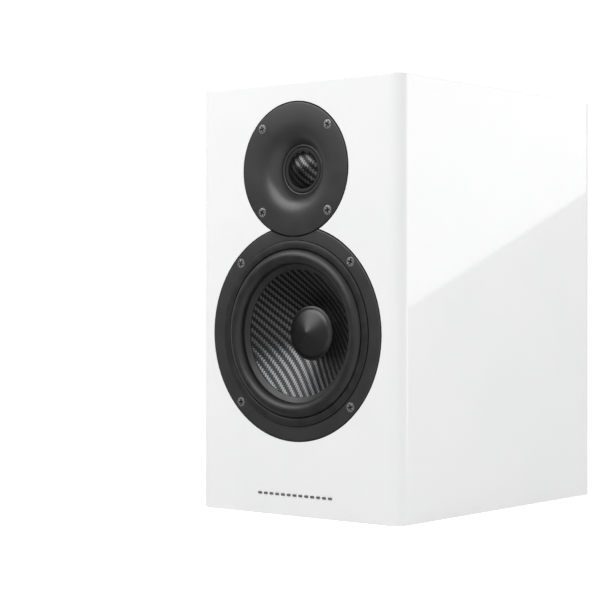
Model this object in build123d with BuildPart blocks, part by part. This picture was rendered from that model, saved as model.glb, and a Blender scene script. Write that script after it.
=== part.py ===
"""Two-way bookshelf loudspeaker with a rear slot port, in millimetres.

Axes: +X to the right seen from the front, +Y to the rear, +Z up.
Origin: centre of the cabinet's underside.
"""
import math
import os

from build123d import *

os.makedirs("parts", exist_ok=True)

# ---- Driving dimensions -------------------------------------------------------------
WIDTH = 185.0
DEPTH = 260.0
HEIGHT = 310.0
WALL = 18.0                    # board thickness, all six panels
EDGE_RADIUS = 10.0             # vertical edges, front and rear, and the lower rear edge
CRISP = 0.8                    # radius on the remaining outer edges

FRONT = -DEPTH / 2
REAR = DEPTH / 2
INNER_X = WIDTH / 2 - WALL
INNER_FRONT = FRONT + WALL
INNER_REAR = REAR - WALL
INNER_TOP = HEIGHT - WALL

PROUD = 0.6                    # how far both driver plates stand out of the baffle
REBATE = 5.0                   # rebate in the baffle under each plate
GASKET = 0.6
REVEAL = 0.4                   # shadow gap round each plate
CLEAR = 0.1                    # glue line between curved faces

WOOFER_Z = 130.5
WOOFER_RADIUS = 77.1
WOOFER_HOLE = 60.0
WOOFER_SCREW_CIRCLE = 71.7
CONE_TRAVEL = 4.0
COIL_RADIUS = 16.0             # inside of the woofer's coil former

TWEETER_Z = 248.0
TWEETER_RADIUS = 48.3
TWEETER_HOLE = 37.5
TWEETER_SCREW_CIRCLE = 42.7
DOME_RADIUS = 13.0
DOME_BASE = 9.5                # depth of the dome's rim behind the baffle

PORT_Z = 250.0
PORT_WIDTH = 100.0
PORT_HEIGHT = 14.0
PORT_WALL = 3.0
PORT_LENGTH = 140.0
PORT_FLARE = 8.0

TERMINAL_Z = 70.0
TERMINAL_WIDTH = 100.0
TERMINAL_HEIGHT = 60.0
TERMINAL_THICK = 2.5
POST_PITCH = 30.0
POST_THREAD = 4.0              # radius of the M8 studs
POST_END = REAR + 32.0
WIRE_HOLE_Y = REAR + 10.0

BRACE_FRONT = 6.0
BRACE_THICK = 12.0

BOARD_Z = WALL + 10.0
BOARD_THICK = 1.6
BOARD_TOP = BOARD_Z + BOARD_THICK
BOARD_WIDTH = 104.0
BOARD_FRONT = 26.0
BOARD_REAR = 108.0

LEAD_RADIUS = 1.2


# ---- Frames and helpers ---------------------------------------------------------------
def facing_front(depth=0.0):
    """Plane parallel to the baffle, depth behind its face: local x is X, y is Z, +z points out."""
    return Plane(origin=(0, FRONT + depth, 0), x_dir=(1, 0, 0), z_dir=(0, -1, 0))


def facing_rear(out=0.0):
    """Plane parallel to the rear panel, out beyond its face: local x is -X, y is Z, +z points out."""
    return Plane(origin=(0, REAR + out, 0), x_dir=(-1, 0, 0), z_dir=(0, 1, 0))


def post_frame(x, y):
    """Plane square to a binding post's axis at that x and y, +z pointing to the rear."""
    return Plane(origin=(x, y, TERMINAL_Z), x_dir=(-1, 0, 0), z_dir=(0, 1, 0))


def at(radius, depth):
    """A profile point from its radius and its depth behind the baffle's face."""
    return (radius, FRONT + depth)


def finish(builder, name):
    """Labels a finished piece and writes its STEP file."""
    builder.part.label = name
    export_step(builder.part, f"parts/{name}.step")


WOOFER_AXIS = Axis((0, 0, WOOFER_Z), (0, 1, 0))
TWEETER_AXIS = Axis((0, 0, TWEETER_Z), (0, 1, 0))
WOOFER_HALF = Plane.XY.offset(WOOFER_Z)
TWEETER_HALF = Plane.XY.offset(TWEETER_Z)


def cross_head_screw(head_radius, shank_radius, length):
    """Countersunk screw with a cross recess: head face at z 0, shank towards -z."""
    head_depth = head_radius - shank_radius
    rim = 0.3
    with BuildPart(mode=Mode.PRIVATE) as screw:
        with BuildSketch(Plane.XZ):
            with BuildLine():
                Polyline(
                    (0, 0),
                    (head_radius, 0),
                    (head_radius, -rim),
                    (shank_radius, -rim - head_depth),
                    (shank_radius, -length + shank_radius),
                    (0.3, -length),
                    (0, -length),
                    close=True,
                )
            make_face()
        revolve(axis=Axis.Z)
        slot = head_radius * 1.15
        recess = head_radius * 0.45
        for turn in (0, 90):
            with Locations(Location((0, 0, -recess / 2), (0, 0, turn))):
                Box(slot, head_radius * 0.26, recess, mode=Mode.SUBTRACT)
    return screw.part


def corner_radii(points, share=0.45):
    """Bend radii for a lead's corners: each as large as its two runs allow."""
    vectors = [Vector(*p) for p in points]
    radii = []
    for before, here, after in zip(vectors, vectors[1:], vectors[2:]):
        shorter = min((here - before).length, (after - here).length)
        turn = math.radians((here - before).get_angle(after - here))
        radii.append(share * shorter / math.tan(turn / 2))
    return radii


def lead(points, radius=LEAD_RADIUS):
    """One round lead along a route of points, with every bend as large as its runs allow."""
    radii = corner_radii(points)
    with BuildPart(mode=Mode.PRIVATE) as strand:
        with BuildLine() as route:
            FilletPolyline(*points, radius=radii)
        with BuildSketch(Plane(origin=route.line @ 0, z_dir=route.line % 0)):
            Circle(radius)
        sweep(path=route.line)
    return strand.part


# ---- Cabinet ----------------------------------------------------------------------------
PILOT_RADIUS = 2.1
DRIVER_HEAD = 3.4              # head radius of the screws that hold both drivers
DRIVER_SHANK = 1.9
DRIVER_SCREW_LENGTH = 17.0
DRIVER_SCREWS = 4              # round each driver, the first at 45 degrees
SINK_GAP = 0.4                 # countersink's edge beyond the screw head's

with BuildPart() as front_baffle:
    with BuildSketch(Plane.XY):
        with Locations((0, FRONT + WALL / 2)):
            Rectangle(WIDTH, WALL)
        fillet(vertices().group_by(Axis.Y)[0], EDGE_RADIUS)
    extrude(amount=HEIGHT)
    outer = lambda e: e.center().Y < INNER_FRONT - 0.5
    fillet(edges().group_by(Axis.Z)[-1].filter_by(outer), CRISP)
    fillet(edges().group_by(Axis.Z)[0].filter_by(outer), CRISP)
    with BuildSketch(facing_front()):
        with Locations((0, WOOFER_Z)):
            Circle(WOOFER_RADIUS + REVEAL)
        with Locations((0, TWEETER_Z)):
            Circle(TWEETER_RADIUS + REVEAL)
    extrude(amount=-REBATE, mode=Mode.SUBTRACT)
    with BuildSketch(facing_front()):
        with Locations((0, WOOFER_Z)):
            Circle(WOOFER_HOLE)
        with Locations((0, TWEETER_Z)):
            Circle(TWEETER_HOLE)
    extrude(amount=-WALL, mode=Mode.SUBTRACT)
    with BuildSketch(facing_front()):
        with Locations((0, WOOFER_Z)):
            with PolarLocations(WOOFER_SCREW_CIRCLE, DRIVER_SCREWS, 45):
                Circle(PILOT_RADIUS)
        with Locations((0, TWEETER_Z)):
            with PolarLocations(TWEETER_SCREW_CIRCLE, DRIVER_SCREWS, 45):
                Circle(PILOT_RADIUS)
    extrude(amount=-(WALL - 1.0), mode=Mode.SUBTRACT)
finish(front_baffle, "front_baffle")

TERMINAL_SCREW_X = 42.0
TERMINAL_SCREW_Z = 22.0
TERMINAL_PILOT = 1.6
TERMINAL_HEAD = 2.8
TERMINAL_SHANK = 1.4
PORT_FLANGE_W = PORT_WIDTH + 2 * PORT_FLARE + 12
PORT_FLANGE_H = PORT_HEIGHT + 2 * PORT_FLARE + 12
PORT_FLANGE_THICK = 3.0

with BuildPart() as rear_panel:
    with BuildSketch(Plane.XY):
        with Locations((0, REAR - WALL / 2)):
            Rectangle(WIDTH, WALL)
        fillet(vertices().group_by(Axis.Y)[-1], EDGE_RADIUS)
    extrude(amount=HEIGHT)
    outer = lambda e: e.center().Y > INNER_REAR + 0.5
    fillet(edges().group_by(Axis.Z)[-1].filter_by(outer), CRISP)
    with BuildSketch(Plane.YZ.offset(-WIDTH / 2)):
        with Locations((REAR - WALL / 2, HEIGHT / 2)):
            Rectangle(WALL, HEIGHT)
        lower_rear = vertices().group_by(Axis.Y)[0].sort_by(Axis.X)[-1]
        fillet(lower_rear, EDGE_RADIUS)
    extrude(amount=WIDTH, mode=Mode.INTERSECT)
    with BuildSketch(facing_rear()):
        with Locations((0, PORT_Z)):
            RectangleRounded(PORT_FLANGE_W + 0.6, PORT_FLANGE_H + 0.6, 10.3)
    extrude(amount=-PORT_FLANGE_THICK, mode=Mode.SUBTRACT)
    with BuildSketch(facing_rear()):
        with Locations((0, PORT_Z)):
            RectangleRounded(PORT_WIDTH + 2 * PORT_FLARE + 3, PORT_HEIGHT + 2 * PORT_FLARE + 3, 8)
        with Locations((0, TERMINAL_Z)):
            RectangleRounded(70, 40, 6)
    extrude(amount=-WALL, mode=Mode.SUBTRACT)
    with BuildSketch(facing_rear()):
        with Locations((0, TERMINAL_Z)):
            with GridLocations(2 * TERMINAL_SCREW_X, 2 * TERMINAL_SCREW_Z, 2, 2):
                Circle(TERMINAL_PILOT)
    extrude(amount=-15, mode=Mode.SUBTRACT)
finish(rear_panel, "rear_panel")

for name, side in (("left_side_panel", -1), ("right_side_panel", 1)):
    with BuildPart() as side_panel:
        with BuildSketch(Plane.XY):
            with Locations((side * (WIDTH - WALL) / 2, 0)):
                Rectangle(WALL, DEPTH - 2 * WALL)
        extrude(amount=HEIGHT)
        outside = side_panel.faces().sort_by(Axis.X)[-1 if side > 0 else 0]
        fillet(outside.edges().filter_by(Axis.Y), CRISP)
    finish(side_panel, name)

SCREW_X = 46.0                 # crossover fixings, from the centre line
SCREW_FRONT = BOARD_FRONT + 6
SCREW_REAR = BOARD_REAR - 6
BOARD_MIDDLE = (BOARD_FRONT + BOARD_REAR) / 2

with BuildPart() as bottom_panel:
    with BuildSketch(Plane.XY):
        Rectangle(2 * INNER_X, DEPTH - 2 * WALL)
        with Locations((0, BOARD_MIDDLE)):
            with GridLocations(2 * SCREW_X, SCREW_REAR - SCREW_FRONT, 2, 2):
                Circle(1.55, mode=Mode.SUBTRACT)
    extrude(amount=WALL)
    with BuildSketch(Plane.XY):
        with Locations((0, BOARD_MIDDLE)):
            with GridLocations(2 * SCREW_X, SCREW_REAR - SCREW_FRONT, 2, 2):
                Circle(2.0)
    extrude(amount=4)          # the pilot holes stop short of the underside
finish(bottom_panel, "bottom_panel")

with BuildPart() as top_panel:
    with BuildSketch(Plane.XY.offset(INNER_TOP)):
        Rectangle(2 * INNER_X, DEPTH - 2 * WALL)
    extrude(amount=WALL)
finish(top_panel, "top_panel")

with BuildPart() as window_brace:
    with BuildSketch(facing_front(BRACE_FRONT - FRONT)):
        with Locations((0, HEIGHT / 2)):
            Rectangle(2 * INNER_X, HEIGHT - 2 * WALL)
        with Locations((0, 88)):
            RectangleRounded(112, 100, 10, mode=Mode.SUBTRACT)
        with Locations((0, 187)):
            RectangleRounded(112, 62, 10, mode=Mode.SUBTRACT)
        with Locations((0, PORT_Z + 3)):
            RectangleRounded(112, 38, 8, mode=Mode.SUBTRACT)
    extrude(amount=-BRACE_THICK)
finish(window_brace, "window_brace")

BADGE_Z = 14.8
BADGE_BARS = 13
BADGE_PITCH = 5.4

with BuildPart() as badge_bars:
    with BuildSketch(facing_front()):
        with Locations((0, BADGE_Z)):
            with GridLocations(BADGE_PITCH, 1, BADGE_BARS, 1):
                RectangleRounded(3.4, 1.7, 0.4)
    extrude(amount=0.4)
finish(badge_bars, "badge_bars")

PAD_THICK = 12.0

for name, side in (("damping_pad_left", -1), ("damping_pad_right", 1)):
    with BuildPart() as damping_pad:
        with BuildSketch(Plane.XY.offset(32)):
            with Locations((side * (INNER_X - PAD_THICK / 2), 66)):
                Rectangle(PAD_THICK, 84)
        extrude(amount=196)
        rim = damping_pad.faces().sort_by(Axis.X)[0 if side > 0 else -1]
        fillet(rim.edges(), 3)
    finish(damping_pad, name)

# Reflex port: a moulded slot duct whose mouth flares into a flush flange.
DUCT_FRONT = REAR - PORT_LENGTH

with BuildPart() as port_duct:
    with BuildSketch(facing_rear()):
        with Locations((0, PORT_Z)):
            RectangleRounded(PORT_FLANGE_W, PORT_FLANGE_H, 10)
    extrude(amount=-PORT_FLANGE_THICK)
    with BuildSketch(facing_rear()):
        with Locations((0, PORT_Z)):
            RectangleRounded(PORT_WIDTH + 2 * PORT_FLARE + 2, PORT_HEIGHT + 2 * PORT_FLARE + 2, 7.5)
    extrude(amount=-(PORT_FLARE + PORT_WALL))
    with BuildSketch(facing_rear()):
        with Locations((0, PORT_Z)):
            RectangleRounded(PORT_WIDTH + 2 * PORT_WALL, PORT_HEIGHT + 2 * PORT_WALL, 5)
    extrude(amount=-PORT_LENGTH)
    with BuildSketch(facing_rear()):
        with Locations((0, PORT_Z)):
            RectangleRounded(PORT_WIDTH, PORT_HEIGHT, 3)
    extrude(amount=-PORT_LENGTH, mode=Mode.SUBTRACT)
    mouth = port_duct.faces().sort_by(Axis.Y)[-1].inner_wires().edges()
    fillet(mouth, PORT_FLARE)
finish(port_duct, "port_duct")

# ---- Woofer -----------------------------------------------------------------------------
FLANGE_BACK = REBATE - GASKET
SEAT_RADIUS = 66.7             # recess in the flange that takes the surround's rim
SEAT_DEPTH = 0.4
BASKET_INNER = 57.5
BED_FRONT = 34.0               # rear bed of the basket, where the motor bolts on
BED_BACK = 38.0
BED_RADIUS = 48.0
LEDGE_FRONT = 31.0             # ledge that the spider is glued to
LEDGE_INNER = 41.5
LEDGE_FILLET = 45.0            # where the basket's inner slope meets the ledge
FRAME_OUTER = 59.4             # outside of the basket just behind the flange
FRAME_INNER = 56.0
COIL_OPENING = 22.0            # hole through the basket's bed
STRIP_Z = WOOFER_Z - 49.0
SHELF_DROP = 46.5              # how far below the axis the terminal strip's shelf lies
SHELF_WIDTH = 32.0
SHELF_THICK = 5.0
SPOKES = 6
WINDOW_DEPTH = 18.0            # middle of the windows between the basket's six spokes
WINDOW_RADIUS = 52.0
WINDOW_WIDTH = 36.0
WINDOW_LENGTH = 19.0
WINDOW_REACH = 26.0            # radial length of the box that cuts each window

with BuildPart() as woofer_basket:
    with BuildSketch(WOOFER_HALF):
        with BuildLine():
            Polyline(
                at(BASKET_INNER, SEAT_DEPTH),
                at(SEAT_RADIUS, SEAT_DEPTH),
                at(SEAT_RADIUS, -PROUD),
                at(WOOFER_RADIUS - 0.5, -PROUD),
                at(WOOFER_RADIUS, -PROUD + 0.5),
                at(WOOFER_RADIUS, FLANGE_BACK),
                at(FRAME_OUTER, FLANGE_BACK),
                at(BED_RADIUS, LEDGE_FRONT - 1),
                at(BED_RADIUS, BED_BACK),
                at(COIL_OPENING, BED_BACK),
                at(COIL_OPENING, BED_FRONT),
                at(LEDGE_INNER, BED_FRONT),
                at(LEDGE_INNER, LEDGE_FRONT),
                at(LEDGE_FILLET, LEDGE_FRONT),
                at(FRAME_INNER, FLANGE_BACK + 2),
                at(BASKET_INNER, FLANGE_BACK),
                close=True,
            )
        make_face()
    revolve(axis=WOOFER_AXIS)
    with Locations(facing_front(WINDOW_DEPTH).location):
        with Locations((0, WOOFER_Z, 0)):
            with PolarLocations(WINDOW_RADIUS, SPOKES, 30):
                Box(WINDOW_REACH, WINDOW_WIDTH, WINDOW_LENGTH, mode=Mode.SUBTRACT)
    with Locations((0, FRONT + (LEDGE_FRONT + BED_BACK) / 2, WOOFER_Z - SHELF_DROP)):
        Box(SHELF_WIDTH, BED_BACK - LEDGE_FRONT, SHELF_THICK)
    with BuildSketch(facing_front(-2)):
        with Locations((0, TWEETER_Z)):
            Circle(TWEETER_RADIUS + REVEAL)
    extrude(amount=-(FLANGE_BACK + 3), mode=Mode.SUBTRACT)
    with Locations(facing_front(-PROUD).location):
        with Locations((0, WOOFER_Z, 0)):
            with PolarLocations(WOOFER_SCREW_CIRCLE, DRIVER_SCREWS, 45):
                CounterSinkHole(PILOT_RADIUS, DRIVER_HEAD + SINK_GAP, 8, 90)
finish(woofer_basket, "woofer_basket")

with BuildPart() as woofer_gasket:
    with BuildSketch(facing_front(REBATE)):
        with Locations((0, WOOFER_Z)):
            Circle(WOOFER_RADIUS)
            Circle(WOOFER_HOLE, mode=Mode.SUBTRACT)
            with PolarLocations(WOOFER_SCREW_CIRCLE, DRIVER_SCREWS, 45):
                Circle(2.4, mode=Mode.SUBTRACT)
        with Locations((0, TWEETER_Z)):
            Circle(TWEETER_RADIUS + REVEAL, mode=Mode.SUBTRACT)
    extrude(amount=GASKET)
finish(woofer_gasket, "woofer_gasket")

CONE_RIM = 49.8
CONE_SLOPE = 0.552             # depth gained per millimetre towards the centre
CONE_REF_RADIUS = 45.4
CONE_REF_DEPTH = 5.2
CONE_THICK = 0.8
CONE_BOW = 0.8                 # how far the cone bows towards the front
CONE_NECK = COIL_RADIUS + 0.4 + CLEAR


def cone_face(radius):
    """Depth of the cone's front face at a radius: a straight slope, bowed forwards between its ends."""
    share = (CONE_RIM - radius) / (CONE_RIM - CONE_NECK)
    straight = CONE_REF_DEPTH + (CONE_REF_RADIUS - radius) * CONE_SLOPE
    return straight - 4 * CONE_BOW * share * (1 - share)


CONE_STATIONS = [CONE_RIM + (CONE_NECK - CONE_RIM) * step / 4 for step in range(5)]

with BuildPart() as woofer_cone:
    with BuildSketch(WOOFER_HALF):
        with BuildLine():
            front_face = Spline(*[at(r, cone_face(r)) for r in CONE_STATIONS])
            back_face = Spline(*[at(r, cone_face(r) + CONE_THICK) for r in CONE_STATIONS])
            Line(front_face @ 0, back_face @ 0)
            Line(front_face @ 1, back_face @ 1)
        make_face()
    revolve(axis=WOOFER_AXIS)
finish(woofer_cone, "woofer_cone")

# Half-roll rubber surround: outer rim, roll, and the lip glued to the front of the cone.
ROLL_OUTER = 60.4
ROLL_INNER = 49.6
LIP_INNER = 45.6
RUBBER = 0.7
RIM_FRONT = -PROUD - 1.0
ROLL_FOOT = -0.5
CROWN = -4.6
LIP_GAP = 0.2                  # glue line under the lip
ROLL_MIDDLE = (ROLL_OUTER + ROLL_INNER) / 2


LIP_FACE = cone_face(ROLL_INNER) - LIP_GAP - RUBBER
LIP_TIP = cone_face(LIP_INNER) - LIP_GAP - RUBBER
LIP_BACK = cone_face(ROLL_INNER + RUBBER) - LIP_GAP

with BuildPart() as woofer_surround:
    with BuildSketch(WOOFER_HALF):
        with BuildLine():
            outer_roll = ThreePointArc(
                at(ROLL_OUTER, ROLL_FOOT),
                at(ROLL_MIDDLE + 0.4, CROWN),
                at(ROLL_INNER, LIP_FACE),
            )
            inner_roll = ThreePointArc(
                at(ROLL_INNER + RUBBER, LIP_BACK),
                at(ROLL_MIDDLE + 0.4, CROWN + RUBBER),
                at(ROLL_OUTER - RUBBER, SEAT_DEPTH),
            )
            Polyline(
                outer_roll @ 1,
                at(LIP_INNER, LIP_TIP),
                at(LIP_INNER, LIP_TIP + RUBBER),
                inner_roll @ 0,
            )
            Polyline(
                inner_roll @ 1,
                at(SEAT_RADIUS - 0.3, SEAT_DEPTH),
                at(SEAT_RADIUS - 0.3, RIM_FRONT),
                at(ROLL_OUTER, RIM_FRONT),
                outer_roll @ 0,
            )
        make_face()
    revolve(axis=WOOFER_AXIS)
finish(woofer_surround, "woofer_surround")

CAP_RADIUS = 19.6
CAP_APEX = 12.2
CAP_WALL = 0.8
CAP_LIP = cone_face(CAP_RADIUS) - 0.4 - CLEAR

with BuildPart() as woofer_dust_cap:
    with BuildSketch(WOOFER_HALF):
        with BuildLine():
            cap_front = Polyline(
                at(CAP_RADIUS, CAP_LIP + 0.4),
                at(CAP_RADIUS, CAP_LIP),
                at(18.9, CAP_LIP),
                at(18.2, CAP_LIP - 1.0),
                at(0.0, CAP_APEX),
            )
            cap_back = Polyline(
                at(0.0, CAP_APEX + CAP_WALL),
                at(17.7, CAP_LIP - 0.4),
                at(18.6, CAP_LIP + 0.4),
            )
            Line(cap_front @ 1, cap_back @ 0)
            Line(cap_back @ 1, cap_front @ 0)
        make_face()
    revolve(axis=WOOFER_AXIS)
    shoulder = lambda e: abs(e.radius - 18.2) < 0.05
    fillet(edges().filter_by(GeomType.CIRCLE).filter_by(shoulder), 1.2)
finish(woofer_dust_cap, "woofer_dust_cap")

COIL_FRONT = 36.0
COIL_BACK = 46.0
FORMER_FRONT = cone_face(CONE_NECK) - 1.0
FORMER_WALL = 0.4

with BuildPart() as woofer_coil_former:
    with BuildSketch(facing_front(FORMER_FRONT)):
        with Locations((0, WOOFER_Z)):
            Circle(COIL_RADIUS + FORMER_WALL)
            Circle(COIL_RADIUS, mode=Mode.SUBTRACT)
    extrude(amount=-(COIL_BACK + 1 - FORMER_FRONT))
finish(woofer_coil_former, "woofer_coil_former")

COIL_OUTER = COIL_RADIUS + FORMER_WALL + 1.0

with BuildPart() as woofer_voice_coil:
    with BuildSketch(facing_front(COIL_FRONT)):
        with Locations((0, WOOFER_Z)):
            Circle(COIL_OUTER)
            Circle(COIL_RADIUS + FORMER_WALL + 0.02, mode=Mode.SUBTRACT)
    extrude(amount=-(COIL_BACK - COIL_FRONT))
finish(woofer_voice_coil, "woofer_voice_coil")

# Corrugated spider, from the former out to the basket's ledge.
SPIDER_OUTER = 44.5
SPIDER_INNER = COIL_RADIUS + FORMER_WALL + 0.15
SPIDER_DEPTH = 30.0
SPIDER_THICK = 0.6
SPIDER_WAVES = 5
SPIDER_HEIGHT = 1.1


def spider_wave(offset):
    """Points of the corrugation from the inner edge to the flat outer rim, offset in depth."""
    flat = 40.5
    steps = SPIDER_WAVES * 4
    points = []
    for step in range(steps + 1):
        radius = SPIDER_INNER + 1.5 + (flat - SPIDER_INNER - 1.5) * step / steps
        lift = SPIDER_HEIGHT * math.sin(2 * math.pi * SPIDER_WAVES * step / steps)
        points.append(at(radius, SPIDER_DEPTH - lift + offset))
    return points


with BuildPart() as woofer_spider:
    with BuildSketch(WOOFER_HALF):
        with BuildLine():
            upper = Spline(*spider_wave(0.0))
            lower = Spline(*spider_wave(SPIDER_THICK))
            Polyline(
                upper @ 1,
                at(SPIDER_OUTER, SPIDER_DEPTH),
                at(SPIDER_OUTER, LEDGE_FRONT),
                at(LEDGE_INNER + 0.3, LEDGE_FRONT),
                lower @ 1,
            )
            Polyline(
                upper @ 0,
                at(SPIDER_INNER, SPIDER_DEPTH),
                at(SPIDER_INNER, SPIDER_DEPTH + SPIDER_THICK),
                lower @ 0,
            )
        make_face()
    revolve(axis=WOOFER_AXIS)
finish(woofer_spider, "woofer_spider")

PLATE_THICK = 6.0
MAGNET_THICK = 16.0
MAGNET_FRONT = BED_BACK + PLATE_THICK
MAGNET_BACK = MAGNET_FRONT + MAGNET_THICK
MAGNET_RADIUS = 45.0

with BuildPart() as woofer_top_plate:
    with BuildSketch(facing_front(BED_BACK)):
        with Locations((0, WOOFER_Z)):
            Circle(MAGNET_RADIUS - 2)
            Circle(COIL_OUTER + 0.6, mode=Mode.SUBTRACT)
    extrude(amount=-PLATE_THICK)
finish(woofer_top_plate, "woofer_top_plate")

with BuildPart() as woofer_magnet:
    with BuildSketch(facing_front(MAGNET_FRONT)):
        with Locations((0, WOOFER_Z)):
            Circle(MAGNET_RADIUS)
            Circle(22.5, mode=Mode.SUBTRACT)
    extrude(amount=-MAGNET_THICK)
    chamfer(edges().filter_by(GeomType.CIRCLE).filter_by(lambda e: e.radius > 40), 1.2)
finish(woofer_magnet, "woofer_magnet")

with BuildPart() as woofer_back_plate:
    with BuildSketch(facing_front(MAGNET_BACK)):
        with Locations((0, WOOFER_Z)):
            Circle(MAGNET_RADIUS - 2)
    extrude(amount=-PLATE_THICK)
    chamfer(edges().group_by(Axis.Y)[-1], 1.5)
    with BuildSketch(facing_front(MAGNET_BACK)):
        with Locations((0, WOOFER_Z)):
            Circle(COIL_RADIUS - 0.5)
    extrude(amount=MAGNET_BACK - BED_BACK + 1)
finish(woofer_back_plate, "woofer_back_plate")

TAB_X = 9.0

with BuildPart() as woofer_terminal_strip:
    with Locations((0, FRONT + 34.5, STRIP_Z - 0.8)):
        Box(30, 13, 1.6)
    for x in (-TAB_X, TAB_X):
        with Locations((x, FRONT + 41, STRIP_Z - 2.0)):
            Box(4.8, 20, 0.8)
finish(woofer_terminal_strip, "woofer_terminal_strip")

with BuildPart() as woofer_tinsel_leads:
    for x in (-TAB_X, TAB_X):
        route = [
            (x, FRONT + 27.9, STRIP_Z - 0.8),
            (x, FRONT + 23.0, STRIP_Z + 0.4),
            (x, FRONT + 19.5, STRIP_Z + 4.8),
            (x, FRONT + 17.6, STRIP_Z + 10.5),
            (x, FRONT + 11.4, STRIP_Z + 14.5),
        ]
        add(lead(route, radius=0.6))
finish(woofer_tinsel_leads, "woofer_tinsel_leads")

with BuildPart() as woofer_screws:
    with Locations(facing_front(-PROUD).location):
        with Locations((0, WOOFER_Z, 0)):
            with PolarLocations(WOOFER_SCREW_CIRCLE, DRIVER_SCREWS, 45):
                add(cross_head_screw(DRIVER_HEAD, DRIVER_SHANK, DRIVER_SCREW_LENGTH))
finish(woofer_screws, "woofer_screws")

# ---- Tweeter ----------------------------------------------------------------------------
THROAT = 18.3
THROAT_DEPTH = 8.6
TOP_PLATE_FRONT = 12.0
TWEETER_BODY = 36.0

with BuildPart() as tweeter_waveguide:
    with BuildSketch(TWEETER_HALF):
        with BuildLine():
            flare = Spline(
                at(33.0, -PROUD),
                at(26.0, 0.7),
                at(21.0, 4.0),
                at(THROAT, THROAT_DEPTH),
                tangents=((-1, 0), (-0.28, 1)),
            )
            Polyline(
                flare @ 1,
                at(THROAT, 10.2),
                at(24, 10.2),
                at(24, TOP_PLATE_FRONT),
                at(TWEETER_BODY, TOP_PLATE_FRONT),
                at(TWEETER_BODY, FLANGE_BACK),
                at(TWEETER_RADIUS, FLANGE_BACK),
                at(TWEETER_RADIUS, -PROUD + 0.5),
                at(TWEETER_RADIUS - 0.5, -PROUD),
                flare @ 0,
            )
        make_face()
    revolve(axis=TWEETER_AXIS)
    with Locations(facing_front(-PROUD).location):
        with Locations((0, TWEETER_Z, 0)):
            with PolarLocations(TWEETER_SCREW_CIRCLE, DRIVER_SCREWS, 45):
                CounterSinkHole(PILOT_RADIUS, DRIVER_HEAD + SINK_GAP, 8, 90)
finish(tweeter_waveguide, "tweeter_waveguide")

with BuildPart() as tweeter_gasket:
    with BuildSketch(facing_front(REBATE)):
        with Locations((0, TWEETER_Z)):
            Circle(TWEETER_RADIUS)
            Circle(TWEETER_HOLE, mode=Mode.SUBTRACT)
            with PolarLocations(TWEETER_SCREW_CIRCLE, DRIVER_SCREWS, 45):
                Circle(2.4, mode=Mode.SUBTRACT)
    extrude(amount=GASKET)
finish(tweeter_gasket, "tweeter_gasket")

RING_INNER = 16.9

with BuildPart() as tweeter_clamp_ring:
    with BuildSketch(TWEETER_HALF):
        with BuildLine():
            Polyline(
                at(RING_INNER, 9.2),
                at(17.3, 8.5),
                at(17.9, 8.5),
                at(THROAT - 0.15, 8.9),
                at(THROAT - 0.15, 10.2),
                at(RING_INNER, 10.2),
                close=True,
            )
        make_face()
    revolve(axis=TWEETER_AXIS)
finish(tweeter_clamp_ring, "tweeter_clamp_ring")

with BuildPart() as tweeter_suspension:
    with BuildSketch(TWEETER_HALF):
        with BuildLine():
            roll_front = ThreePointArc(at(13.5, 9.6), at(15.0, 8.7), at(16.5, 9.7))
            roll_back = ThreePointArc(at(16.3, 10.3), at(15.0, 9.2), at(13.5, 10.1))
            Line(roll_front @ 0, roll_back @ 1)
            Polyline(roll_front @ 1, at(16.7, 10.25), at(23.5, 10.25), at(23.5, 10.75),
                     at(16.3, 10.75), roll_back @ 0)
        make_face()
    revolve(axis=TWEETER_AXIS)
finish(tweeter_suspension, "tweeter_suspension")

DOME_HEIGHT = 5.4
DOME_WALL = 0.5
DOME_BALL = (DOME_RADIUS ** 2 + DOME_HEIGHT ** 2) / (2 * DOME_HEIGHT)
DOME_ANGLE = math.asin(DOME_RADIUS / DOME_BALL)
DOME_CENTRE = DOME_BASE - DOME_HEIGHT + DOME_BALL


def dome_point(ball, share):
    """Point on a sphere about the dome's centre, share of the way from its pole to its rim."""
    angle = share * DOME_ANGLE
    return at(ball * math.sin(angle), DOME_CENTRE - ball * math.cos(angle))


with BuildPart() as tweeter_dome:
    with BuildSketch(TWEETER_HALF):
        with BuildLine():
            skin = ThreePointArc(*[dome_point(DOME_BALL, share) for share in (0, 0.5, 1)])
            inside = ThreePointArc(*[dome_point(DOME_BALL - DOME_WALL, share) for share in (1, 0.5, 0)])
            Polyline(
                skin @ 1,
                at(DOME_RADIUS + 0.3, DOME_BASE),
                at(DOME_RADIUS + 0.3, 10.2),
                at((inside @ 0).X, 10.2),
                inside @ 0,
            )
            Line(inside @ 1, skin @ 0)
        make_face()
    revolve(axis=TWEETER_AXIS)
finish(tweeter_dome, "tweeter_dome")

TWEETER_FORMER = 12.6
TWEETER_FORMER_WALL = 0.3

with BuildPart() as tweeter_coil_former:
    with BuildSketch(facing_front(10.3)):
        with Locations((0, TWEETER_Z)):
            Circle(TWEETER_FORMER + TWEETER_FORMER_WALL)
            Circle(TWEETER_FORMER, mode=Mode.SUBTRACT)
    extrude(amount=-5.7)
finish(tweeter_coil_former, "tweeter_coil_former")

with BuildPart() as tweeter_voice_coil:
    with BuildSketch(facing_front(12.3)):
        with Locations((0, TWEETER_Z)):
            Circle(TWEETER_FORMER + TWEETER_FORMER_WALL + 0.45)
            Circle(TWEETER_FORMER + TWEETER_FORMER_WALL + 0.02, mode=Mode.SUBTRACT)
    extrude(amount=-3.2)
finish(tweeter_voice_coil, "tweeter_voice_coil")

TWEETER_MAGNET_FRONT = 15.0
TWEETER_MAGNET_BACK = 24.0
TWEETER_BACK = 28.0

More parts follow.
